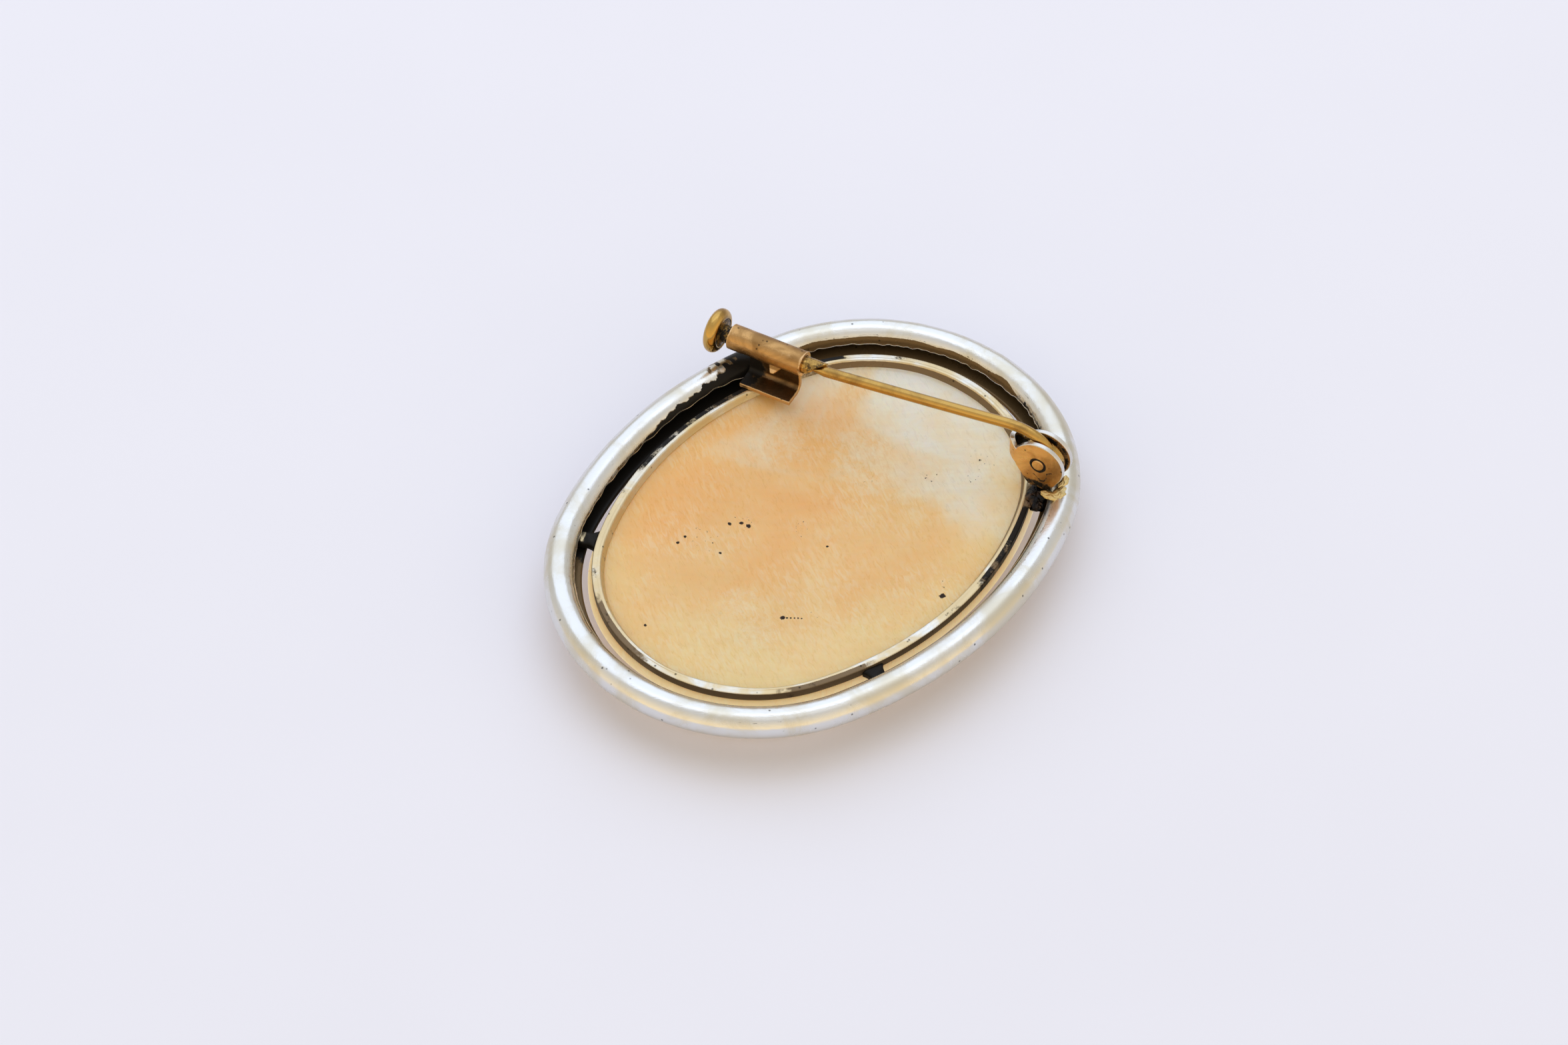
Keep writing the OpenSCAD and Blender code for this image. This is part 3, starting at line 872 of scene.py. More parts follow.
@dataclass
class Finishes:
    """The materials of the whole brooch, each made once. A metal's colours are bright, tarnish and accent.

    Attributes:
        silver: Bright silver of the frame.
        rim_silver: Worn silver of collet and posts.
        rose: Worn rose gold of the catch tube and the stop.
        bronze: Dark metal of the bracket.
        brass: Old brass of plunger and pin.
        gilt: Gilt copper of the hinge.
        solder: Yellow solder.
        burnt: Black burnt solder.
        shell: Polished shell.
    """

    # Its accent paints the lip band brown, partly tarnish and partly a painted dark reflection; its near
    # black also paints dark reflections along the tube.
    silver: bpy.types.Material = once(Metal(
        "polished_silver", (0.74, 0.735, 0.715), (0.66, 0.615, 0.505), (0.15, 0.095, 0.042),
        accent_metal=0.35, tarnish_scale=170.0, dull=0.3, spread=-0.5, pits=0.02))
    # Its accent paints the collet's outer wall dark brown, partly tarnish and partly painted shade of the gap
    # between collet and frame.
    rim_silver: bpy.types.Material = once(Metal(
        "worn_rim_silver", (0.70, 0.69, 0.65), (0.68, 0.55, 0.33), (0.20, 0.14, 0.08),
        accent_metal=0.35, tarnish_share=0.75, rough=0.27, dull=0.4, spread=-0.45, bump=0.02))
    # Its accent also paints a highlight along the catch tube's upper near side.
    rose: bpy.types.Material = once(Metal(
        "worn_rose_gold", (0.52, 0.30, 0.115), (0.31, 0.17, 0.06), (0.68, 0.44, 0.22),
        tarnish_share=0.55, rough=0.25, dull=0.4, spread=-0.4, pits=0.1, bump=0.025))
    bronze: bpy.types.Material = once(Metal(
        "dark_bronze", (0.20, 0.115, 0.05), (0.085, 0.05, 0.022), (0.60, 0.38, 0.18),
        tarnish_share=0.6, rough=0.3, dull=0.45, spread=-0.35, pits=0.06, bump=0.02))
    brass: bpy.types.Material = once(Metal(
        "old_brass", (0.54, 0.33, 0.09), (0.29, 0.165, 0.05), (0.58, 0.37, 0.12),
        tarnish_share=0.35, rough=0.15, dull=0.3, spread=-0.45, pits=0.04, bump=0.008))
    gilt: bpy.types.Material = once(Metal(
        "gilt_ears", (0.86, 0.53, 0.22), (0.50, 0.25, 0.08), (0.68, 0.66, 0.62),
        tarnish_share=0.45, rough=0.25, dull=0.36, spread=-0.45, pits=0.04, bump=0.015))
    solder: bpy.types.Material = once(Metal(
        "yellow_solder", (0.93, 0.79, 0.42), (0.66, 0.48, 0.20), (0.20, 0.13, 0.06),
        tarnish_share=0.45, rough=0.22, dull=0.36, spread=-0.35, pits=0.2, bump=0.05))
    burnt: bpy.types.Material = once(Metal(
        "burnt_solder", (0.13, 0.075, 0.04), (0.018, 0.018, 0.02), (0.36, 0.22, 0.10),
        tarnish_share=0.85, tarnish_scale=700.0, rough=0.14, dull=0.22, spread=-0.2, pits=0.2, bump=0.08))
    shell: bpy.types.Material = once(PolishedShell())


# ---------------------------------------------------------------- pieces

def hand_over(obj: bpy.types.Object, body: Body, slot: Slot, material: bpy.types.Material,
              *nodes: str) -> None:
    """Gives a piece its material and its body, and hides the CAD nodes that it stands for.

    Args:
        obj: The piece.
        body: The body it rides on.
        slot: Not used.
        material: Its material.
        nodes: CAD nodes that it replaces.
    """
    obj.data.materials.append(material)
    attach(obj, body.value)
    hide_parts(*nodes)
    LOG.info("%s: %d points, rides on %s", obj.name, len(obj.data.vertices), body.value)


@dataclass
class TubeFrame:
    """The hollow oval frame: a tube open on its inner side, whose lower sheet runs on towards the shell.

    Angles t run round the oval and angles phi round the section, from outwards over the top, in degrees.

    Attributes:
        line: The tube's middle line.
        radius: Radius of the tube.
        wall: Thickness of its sheet.
        height: Height of its middle over the floor.
        lip: phi of the sheet's upper edge.
        reach: How far the lower sheet runs inwards from the tube's middle.
        far_side: t between which the lip lies further round and the brown band is wider.
        black_side: t between which the tube is black.
        rows: Points round the oval.
        outer_cols: Points of the section's outer face.
        inner_cols: Points of its inner face.
    """

    line: Oval = Oval(18.75, 24.8, 17.3)
    radius: float = 1.39
    wall: float = 0.43
    height: float = 4.8
    lip: float = 164.0
    reach: float = 1.94
    far_side: tuple[float, float] = (78.0, 168.0)
    black_side: tuple[float, float] = (160.0, 168.5)
    rows: int = 600
    outer_cols: int = 76
    inner_cols: int = 40

    @staticmethod
    def window(degrees: np.ndarray, low: float, high: float, edge: float = 8.0) -> np.ndarray:
        """1 between two directions and 0 outside them, smooth over an edge, for directions in degrees."""
        return smooth((degrees - low) / edge + 0.5) * smooth((high - degrees) / edge + 0.5)

    @staticmethod
    def stripe(degrees: np.ndarray, middle: np.ndarray | float, half: float) -> np.ndarray:
        """1 at a direction, falling to 0 half a width away from it, for directions in degrees."""
        return np.clip(1 - np.abs(degrees - middle) / half, 0, 1)

    def section(self, lip: np.ndarray) -> tuple[np.ndarray, np.ndarray, np.ndarray]:
        """The sheet's closed section for each row.

        The outer face runs round the tube from the lip to its bottom, goes on level as the underside of the
        lower sheet, turns round that sheet's edge, and comes back inside; half circles close edge and lip.

        Args:
            lip: A column with the angle of the lip for each row, in radians.

        Returns:
            Offsets outwards, heights over the tube's middle, and the Face that each column belongs to.
        """
        r, inner, half = self.radius, self.radius - self.wall, self.wall / 2
        bottom, under = -math.pi / 2, -math.pi / 2 - 0.12
        outer_a = lip + (bottom - lip) * np.linspace(0, 1, self.outer_cols)
        inner_a = under + (lip - under) * np.linspace(0, 1, self.inner_cols)
        q = np.linspace(0, math.pi, 8)[1:-1]
        level = np.linspace(-0.15, half - self.reach, 7)
        ledge_x = np.concatenate([level, level[-1] - half * np.sin(q), level[::-1]])
        ledge_z = np.concatenate([0 * level, half - half * np.cos(q), 0 * level + self.wall]) - r
        end_r = (r + inner) / 2 - half * np.cos(q)
        end_a = lip + half * np.sin(q) / r
        zero = np.zeros_like(lip)
        out = [r * np.cos(outer_a), zero + ledge_x, inner * np.cos(inner_a), end_r * np.cos(end_a)]
        up = [r * np.sin(outer_a), zero + ledge_z, inner * np.sin(inner_a), end_r * np.sin(end_a)]
        faces = (Face.OUTSIDE, Face.LEDGE, Face.INSIDE, Face.INSIDE)
        face = np.repeat(faces, [part.shape[1] for part in out])
        return np.concatenate(out, 1), np.concatenate(up, 1), face

    def marks(self, turn: np.ndarray, phi: np.ndarray, up: np.ndarray, face: np.ndarray) -> Marks:
        """Where the sheet is dirty, where it is brown, and where dark reflections are painted on it.

        The inside and the black place by the catch, whose end wavers round the section, are dirty, and so are
        hairs and thin lines along the tube. The same near black paints dark reflections: a hairline just over
        the lip's band at the far side, and a streak along the near side. Brown are a band along the lip,
        wider at the far side, partly tarnish and partly a painted dark reflection, the fringe of the black,
        faint flakes at the near side, a stain by the hinge, and the ledge.

        Args:
            turn: Outward direction of each row, in radians.
            phi: Angle of each point round the section, in degrees.
            up: Height of each point over the tube's middle.
            face: Face of each column.

        Returns:
            Values of dirt and accent for each point.
        """
        t, sway = np.degrees(turn)[:, None], partial(waver, turn[:, None])
        outside = (face == Face.OUTSIDE) & (np.arange(face.size) > 0)
        ledge = (face == Face.LEDGE) & (up > 0.2 - self.radius)
        far = self.window(t, *self.far_side)
        band = 150 - 6 * far + 3 * sway(6, 4, 40)
        ragged = sum(sway(31 + k, 20, 40 + 60 * k) * np.cos(np.radians(k * (phi + 50))) for k in range(2, 7))
        begin, limit = self.black_side[0], self.black_side[1] + 21 * smooth((phi - 110) / 58) + 1.3 * ragged
        black = 1.4 * smooth((limit - t) / 5 + 0.35) * smooth((t - begin) / 3) * smooth((phi + 25) / 40)
        hairs = 0.7 * smooth((phi - 140 - 6 * sway(7, 60, 160)) / 14) * self.window(t, 30, 80)
        # painted dark reflection: a thin dark line just over the lip's brown band at the far side
        hairline = 0.75 * self.stripe(phi, band - 5, 3) * self.window(t, 84, 150)
        line = 0.6 * self.stripe(phi, 122 + 5 * sway(11, 3, 30), 3)
        line *= highest(self.window(t, 20, 90), self.window(t, 172, 235))
        # painted dark reflection of the shaded floor: a streak along the tube's near side
        streak = 0.62 * self.stripe(phi, 50 + 1.2 * sway(13, 3, 30), 5) * self.window(t, 298, 326, 6)
        dirt = highest(black, hairs, hairline, line, streak) * outside
        dirt = np.select([face == Face.INSIDE, ledge, face == Face.LEDGE],
                         [2.0, 0.3 + 1.6 * self.window(t, 158, 212, 20), 0.5], dirt)
        # the lip band is partly tarnish and partly a painted dark reflection, wider at the far side
        brown = smooth((phi - band) / 5 + 0.5) * (0.55 + 0.35 * far)
        fringe = 0.66 * np.exp(-((t - limit + 0.6) / 2.6) ** 2) * self.window(t, 163, 200)
        flakes = 0.2 * smooth(1 - np.abs(phi - 60) / 70) * self.window(t, 186, 330, 20)
        stain = 0.5 * self.stripe(phi, 112 + 8 * sway(12, 5, 40), 14) * self.window(t, 10, 29, 6)
        return {"dirt": dirt, "accent": np.where(ledge, 1.0, highest(brown, fringe, flakes, stain) * outside)}

    def surface(self) -> Patch:
        """The sheet carried round the oval, with a ragged lip and dents of hundredths of a millimetre.

        Returns:
            The closed sheet.
        """
        turn = self.line.even(self.rows)
        t, sway = np.degrees(turn)[:, None], partial(waver, turn[:, None])
        lip = self.lip + 12 * self.window(t, *self.far_side) + 3 * sway(4, 30, 120) + 2 * sway(5, 3, 12)
        out, up, face = self.section(np.radians(lip))
        phi = np.degrees(np.arctan2(up, out))
        dent = 0.01 * sway(8, 2, 14) * np.cos(np.radians(phi - 35))
        dent += 0.006 * sway(9, 5, 40) * np.sin(np.radians(2 * phi))
        scale = 1 + np.where(face == Face.OUTSIDE, dent - 0.006, 0)
        points = self.line.sweep(turn, out * scale, self.height + up * scale)
        return Patch(points, round_rows=True, round_cols=True, marks=self.marks(turn, phi, up, face))

    def build(self, finishes: Finishes) -> None:
        """Makes the frame."""
        tube = to_mesh("frame_tube", [self.surface()])
        hand_over(tube, Body.BROOCH, Slot.SILVER, finishes.silver, "setting")


@dataclass
class Collet:
    """The flat oval ring that holds the shell.

    Attributes:
        line: Its outer edge.
        profile: Offsets from that edge and heights from its top: up the outer wall, over a slightly
            sloping band and a narrow round ridge, and down the slanting inner wall.
        top: Height of that top over the floor.
        burnt: x, y and reach of black places.
        soot: The same for places half covered with soot.
        specks: The same for places with black specks.
        brown: The same for places with brown tarnish.
    """

    line: Oval = Oval(16.25, 22.0, 14.45)
    profile: Table = (
        (-0.02, -0.86), (0, -0.12), (-0.05, -0.06), (-0.36, -0.04), (-0.43, -0.06), (-0.5, -0.015),
        (-0.62, -0.01), (-0.74, -0.03), (-0.82, -0.12), (-1.0, -0.52), (-1.08, -0.66), (-1.09, -0.85))
    top: float = RIM_Z - 0.02
    burnt: Table = ((-11.8, 14.0, 3.6), (-13.6, 10.6, 3.2), (13.4, 11.4, 3.2))
    soot: Table = (
        (-14.2, 8.6, 4.4), (-15.4, 4.4, 4.4), (-16.1, 0.2, 4.4), (-16.0, -4.0, 4.0), (14.6, 8.6, 3.2),
        (15.8, 5.0, 2.2))
    specks: Table = (
        (-0.8, -21.1, 3.2), (-6.8, 19.8, 3.0), (-15.6, -9.1, 2.6), (-14.9, -11.3, 2.2), (-16.2, 0.2, 3.4),
        (-16.4, -6.9, 2.2), (12.6, -13.4, 3.0), (3.6, 20.0, 4.4), (9.2, 17.6, 4.0), (15.6, 5.6, 3.6),
        (15.9, 0.4, 3.0), (-9.8, -17.6, 3.4), (-5.6, -20.2, 3.4))
    brown: Table = (
        (13.4, 12.6, 6.5), (-15.3, 6.2, 5.0), (15.9, 7.0, 4.6), (13.0, -12.8, 7.0), (-4.0, -21.0, 7.0))

    def surface(self) -> Patch:
        """The ring: the profile with softened corners, closed below and carried round the oval.

        Soot and specks lie on the band, and a thin dirty film on the inner wall. The outer wall is painted
        dark brown and a little dirty, partly tarnish and partly painted shade of the gap between collet and
        frame.
        Brown are also the inner wall, less so at the catch's side, and the brown places.

        Returns:
            The closed ring.
        """
        turn = self.line.even(520)
        sway = partial(waver, turn[:, None])
        off, z = smooth_line(self.profile, 44, 3).T
        rise = 0.015 * sway(21, 2, 10) * (z > -0.3)
        slip = 0.025 * sway(22, 2, 12) * (off < -0.5)
        points = self.line.sweep(turn, off + slip, self.top + z + rise)
        wall, band, rim = (off > -0.2) & (z < -0.1), (off > -0.45) & (z > -0.1), off > -0.47
        slant = smooth((-off - 0.8) / 0.06)
        burnt, soot = (np.minimum(2 * near(points, places), 1) for places in (self.burnt, self.soot))
        open_dirt = np.where(band, 0.55 * near(points, self.specks), 0.2 * slant * (1 + sway(23, 8, 40)))
        # on the outer wall the dark is partly painted shade of the gap between collet and frame
        dirt = highest(np.where(wall, 0.35, open_dirt), 1.3 * burnt * rim, 0.72 * soot * rim)
        pale = smooth(self.line.at(turn) @ CATCH_SIDE / 16)[:, None]
        accent = highest((0.9 - 0.65 * pale) * slant, 0.95 * near(points, self.brown) * rim) + 0.1 * band
        # the outer wall's dark brown accent is partly tarnish and partly painted shade of that gap
        marks = {"dirt": dirt, "accent": np.where(wall, 1.0, accent)}
        return Patch(points, round_rows=True, round_cols=True, flip=True, marks=marks)

    def build(self, finishes: Finishes) -> None:
        """Makes the ring."""
        ring = to_mesh("collet", [self.surface()])
        hand_over(ring, Body.BROOCH, Slot.SILVER, finishes.rim_silver, "setting")


@dataclass
class Posts:
    """The four posts between frame and collet, with solder at their ends.

    Attributes:
        places: Where each leaves the collet, in x and y, and its direction in degrees.
        start: Distance from there to its near end.
        length: Distance from there to its end in the tube.
        width: Width of a post.
        height: Height of a post.
        top: Height of its top over the collet's back rim.
    """

    places: Table = (
        (-14.895, 9.092, 163.05), (-12.696, -14.451, 208.5), (14.895, -9.092, 343.05), (11.737, 15.978, 35.7))
    start: float = 0.05
    length: float = 3.2
    width: float = 2.0
    height: float = 0.85
    top: float = -0.3

    def surface(self, line: Line) -> Patch:
        """A bar of rounded section whose width flares at both ends like solder.

        The section is a superellipse of power 4; its width grows with the fourth power of the distance from
        the bar's middle, and the top slopes down to the tube. Dirt is least on the top's middle.

        Args:
            line: The line it runs along.

        Returns:
            The closed bar.
        """
        u, a = np.linspace(-1, 1, 25)[:, None], around(40)
        across, upright = squarish(a, 4)
        half = self.height / 2
        x = self.start + (self.length - self.start) * (1 + u) / 2
        y = self.width / 2 * (0.7 + 0.35 * u**4) * across
        lump = 0.04 * np.sin(9 * u + 3 * np.cos(a))
        z = self.top - half - 0.1 * (u + 1) + (half + lump) * upright
        dirt = 1.15 - 0.75 * np.exp(-((u + 0.2) ** 2) * 30 - (np.sin(a) - 0.9) ** 2 * 8)
        return Patch(line.place(x, y, z), round_cols=True, capped=True, marks={"dirt": dirt})

    def build(self, finishes: Finishes) -> None:
        """Makes the posts as one piece."""
        posts = to_mesh("posts", [self.surface(Line((x, y), turn)) for x, y, turn in self.places])
        hand_over(posts, Body.BROOCH, Slot.SILVER, finishes.rim_silver, "setting")


@dataclass
class Solder:
    """Lumps of solder by the hinge: black ones on its post and yellow ones at the near ear's foot.

    Attributes:
        black: s, y and z of a lump's middle, then its half sizes along s, y and z.
        yellow: The same for the yellow lumps.
    """

    black: Table = (
        (0.2, -1.35, -0.2, 1.0, 1.15, 0.62), (-0.1, -2.0, -0.4, 0.75, 0.9, 0.4),
        (0.7, -2.3, -0.35, 0.7, 0.6, 0.45), (0.3, 1.1, 0.6, 1.3, 0.6, 0.5))
    yellow: Table = (
        (1.65, -1.6, 0.84, 0.92, 0.5, 0.22), (2.25, -0.95, 0.86, 0.62, 0.9, 0.22),
        (2.0, 0.3, 0.92, 0.4, 0.8, 0.2))

    @staticmethod
    def lump(s: float, y: float, z: float, half_s: float, half_y: float, half_z: float) -> Patch:
        """An uneven ball: half sizes times a direction, times 1 + a sum of sines over both angles.

        Args:
            s: s of its middle.
            y: y of its middle.
            z: z of its middle.
            half_s: Half its size along s.
            half_y: Half its size along y.
            half_z: Half its size along z.

        Returns:
            The closed ball.
        """
        pole = 0.06
        v, a = np.linspace(pole, math.pi - pole, 26)[:, None], around(44)
        swell = 1 + 0.13 * np.sin(3 * a + 7 * s) * np.sin(2 * v)
        swell += 0.08 * np.sin(7 * a + 5 * y) * np.sin(5 * v + s)
        swell += 0.05 * np.sin(13 * a + 3 * v) * np.sin(11 * v + 2 * s) * np.sin(v)
        points = PIN_LINE.place(s + half_s * swell * np.sin(v) * np.cos(a),
                                y + half_y * swell * np.sin(v) * np.sin(a), z + half_z * swell * np.cos(v))
        return Patch(points, round_cols=True, capped=True, flip=True)

    def build(self, finishes: Finishes) -> None:
        """Makes both kinds of lumps."""
        for name, table, finish in (("black_solder", self.black, finishes.burnt),
                                    ("yellow_solder", self.yellow, finishes.solder)):
            lumps = to_mesh(name, [self.lump(*place) for place in table])
            hand_over(lumps, Body.BROOCH, Slot.SILVER, finish, "setting")


@dataclass
class Cameo:
    """The shell: hollow back, bare edge, domed front with a raised flower spray.

    Attributes:
        outer: Its outline.
        inner: Outline of its back inside the collet.
        back_z: Height of the ledge under the collet, over the floor.
        hollow_z: Height of the back's edge inside the collet.
        sag: Depth of the hollow.
        edge_z: Height of the front's edge.
        ground_z: Lowest height of the front's ground.
        roundness: How round the front is.
        bulge: How far its side stands out below the collet, as a share of the outline.
        lift: How much higher the back lies at the catch's side.
        rings: Radius, turn in degrees, lowest and highest height of each ring of petals.
        leaves: x, y, turn in degrees, length and width of each leaf.
        cols: Points round the oval.
    """

    outer: Oval = Oval(16.19, 21.94, 14.39)
    inner: Oval = Oval(15.09, 20.84, 13.29)
    back_z: float = RIM_Z - 0.66
    hollow_z: float = RIM_Z - 0.91
    sag: float = 1.1
    edge_z: float = RIM_Z - 1.46
    ground_z: float = 0.9
    roundness: float = 0.7
    bulge: float = 0.4 / 18
    lift: float = 0.28
    rings: Table = ((7.2, 18, 0.35, 0.85), (4.9, 54, 0.75, 1.2), (2.7, 18, 0.85, 1.05))
    leaves: Table = (
        (4.5, 4.5, 52, 11, 6), (-4.5, 4.5, 128, 11, 6), (-4.5, -4.5, 232, 11, 6),
        (4.5, -4.5, 308, 11, 6), (0, 6, 90, 9, 4.5), (0, -6, 270, 9, 4.5))
    cols: int = 320

    @staticmethod
    def petals(q: np.ndarray, d: np.ndarray, size: float, turn: float, low: float, high: float) -> np.ndarray:
        """A ring of five cupped petals.

        The edge is size * (0.84 + 0.16 |cos 2.5 (d - turn)|^0.7); height rises with (q / edge)^2 from low
        to high, less in the creases between petals and in fine veins, and drops over 0.6 mm at the edge.

        Args:
            q: Distance of each point from the flower's middle.
            d: Direction of each point from there, in radians.
            size: Radius of the ring.
            turn: Its turn, in degrees.
            low: Height at its middle.
            high: Height at its edge.

        Returns:
            The height at each point.
        """
        wave = 2.5 * (d - math.radians(turn))
        edge = size * (0.84 + 0.16 * np.abs(np.cos(wave)) ** 0.7)
        crease = np.abs(np.sin(wave)) ** 6
        vein = 0.02 * np.cos(wave * 16) * np.minimum(1, q / edge)
        rise = low + (high - low) * np.minimum(1, q / edge) ** 2
        return (rise * (1 - 0.55 * crease) + vein) * smooth((edge - q) / 0.6 + 0.5)

    @staticmethod
    def leaf(x: np.ndarray, y: np.ndarray, *sizes: float) -> np.ndarray:
        """A pointed leaf with a groove down its middle and slanting side veins.

        Its half width is width / 2 * sin(pi * share along it); height grows with the distance from the
        groove.

        Args:
            x: x of each point.
            y: y of each point.
            sizes: x and y of its foot, its turn in degrees, its length and its width.

        Returns:
            The height at each point.
        """
        foot_x, foot_y, turn, length, width = sizes
        d, dx, dy = math.radians(turn), x - foot_x, y - foot_y
        along = (dx * math.cos(d) + dy * math.sin(d)) / length
        across = np.abs(dy * math.cos(d) - dx * math.sin(d))
        half = width * np.sin(math.pi * np.clip(along, 0, 1)) / 2
        vein = 0.03 * np.cos((along * length - across * 0.8) * 5.5)
        body = 0.28 + 0.3 * np.minimum(across / np.maximum(half, 1e-6), 1) + vein
        shape = smooth((half - across) / 0.6 + 0.5) * body * np.minimum(1, 6 * along * (1 - along) + 0.2)
        return np.where(half > 0, shape, 0.0)

    def relief(self, x: np.ndarray, y: np.ndarray) -> np.ndarray:
        """Height of the whole carving over its ground: the highest of its petals and leaves.

        Args:
            x: x of each point.
            y: y of each point.

        Returns:
            The height at each point.
        """
        q, d = np.hypot(x, y), np.arctan2(y, x)
        return highest(*(self.petals(q, d, *ring) for ring in self.rings),
                       *(self.leaf(x, y, *leaf) for leaf in self.leaves))

    def front(self, turn: np.ndarray) -> tuple[np.ndarray, np.ndarray, np.ndarray]:
        """The carved front, from its edge to near its middle.

        Point = share * outline point; height = ground + (edge - ground) * (1 - (1 - share^2)^roundness) less
        the carving, never under the surface it lies on.

        Args:
            turn: Outward direction of each column, in radians.

        Returns:
            A grid of points, how much each is raised, and how much painted emission each row takes.
        """
        share = np.linspace(1, 1 / 150, 150)[:, None]
        near_edge = smooth((share - 0.8) * 5)
        flat = (share * (1 + self.bulge * near_edge))[..., None] * self.outer.at(turn)
        ground = self.ground_z + (self.edge_z - self.ground_z) * (1 - (1 - share**2) ** self.roundness)
        carving = self.relief(flat[..., 0], flat[..., 1]) * smooth((1 - share) * 8)
        points = np.concatenate([flat, np.maximum(0, ground - carving)[..., None]], -1)
        return points, smooth(carving / 0.35), near_edge

    def side(self, turn: np.ndarray) -> tuple[np.ndarray, np.ndarray]:
        """The ledge under the collet and the side below it, which stands out by the bulge.

        Args:
            turn: Outward direction of each column, in radians.

        Returns:
            Points of the ledge and of the side, in rows from back to front.
        """
        steps = ((self.inner.grown(0.1), self.back_z - 0.06), (self.inner.grown(0.3), self.back_z),
                 (self.outer, self.back_z))
        ledge = np.stack([oval.sweep(turn, np.zeros(1), np.full(1, z))[:, 0] for oval, z in steps])
        v = np.linspace(0, 1, 9)[1:, None, None]
        flat = self.outer.at(turn) * (1 + self.bulge * smooth((v - 0.3) / 0.7))
        height = self.back_z + (self.edge_z - self.back_z) * v + 0 * flat[..., :1]
        return ledge, np.concatenate([flat, height], -1)

    def back(self, turn: np.ndarray) -> np.ndarray:
        """The hollow back: height = edge - sag * (1 - share^2), plus the lift towards the catch.

        Args:
            turn: Outward direction of each column, in radians.

        Returns:
            Points in rows from near the middle to the edge.
        """
        share = np.linspace(1 / 90, 1, 90)[:, None]
        level = share[..., None] * self.inner.at(turn)
        rise = self.lift * np.clip(level @ CATCH_SIDE / 15, 0, 1)
        return np.concatenate([level, (self.hollow_z - self.sag * (1 - share**2) + rise)[..., None]], -1)

    def surface(self) -> Patch:
        """Back, ledge, side and front in one grid, whose caps close the two middles.

        Returns:
            The closed shell.
        """
        turn = self.outer.even(self.cols)
        front, raised, glow = self.front(turn)
        ledge, side = self.side(turn)
        hidden = np.concatenate([self.back(turn), ledge])
        growing = np.linspace(0.3, 1, len(side))[:, None]
        marks = {
            "raised": np.concatenate([np.zeros((len(hidden) + len(side), self.cols)), raised[1:]]),
            # painted light on the side and the front's edge, standing in for light through the shell
            "glow": np.concatenate([np.zeros((len(hidden), 1)), growing, glow[1:]]),
        }
        grid = np.concatenate([hidden, side, front[1:]])
        return Patch(grid, round_cols=True, capped=True, flip=True, marks=marks)

    def build(self, finishes: Finishes) -> None:
        """Makes the shell."""
        shell = to_mesh("cameo", [self.surface()])
        hand_over(shell, Body.BROOCH, Slot.SHELL, finishes.shell, "cameo_shell")


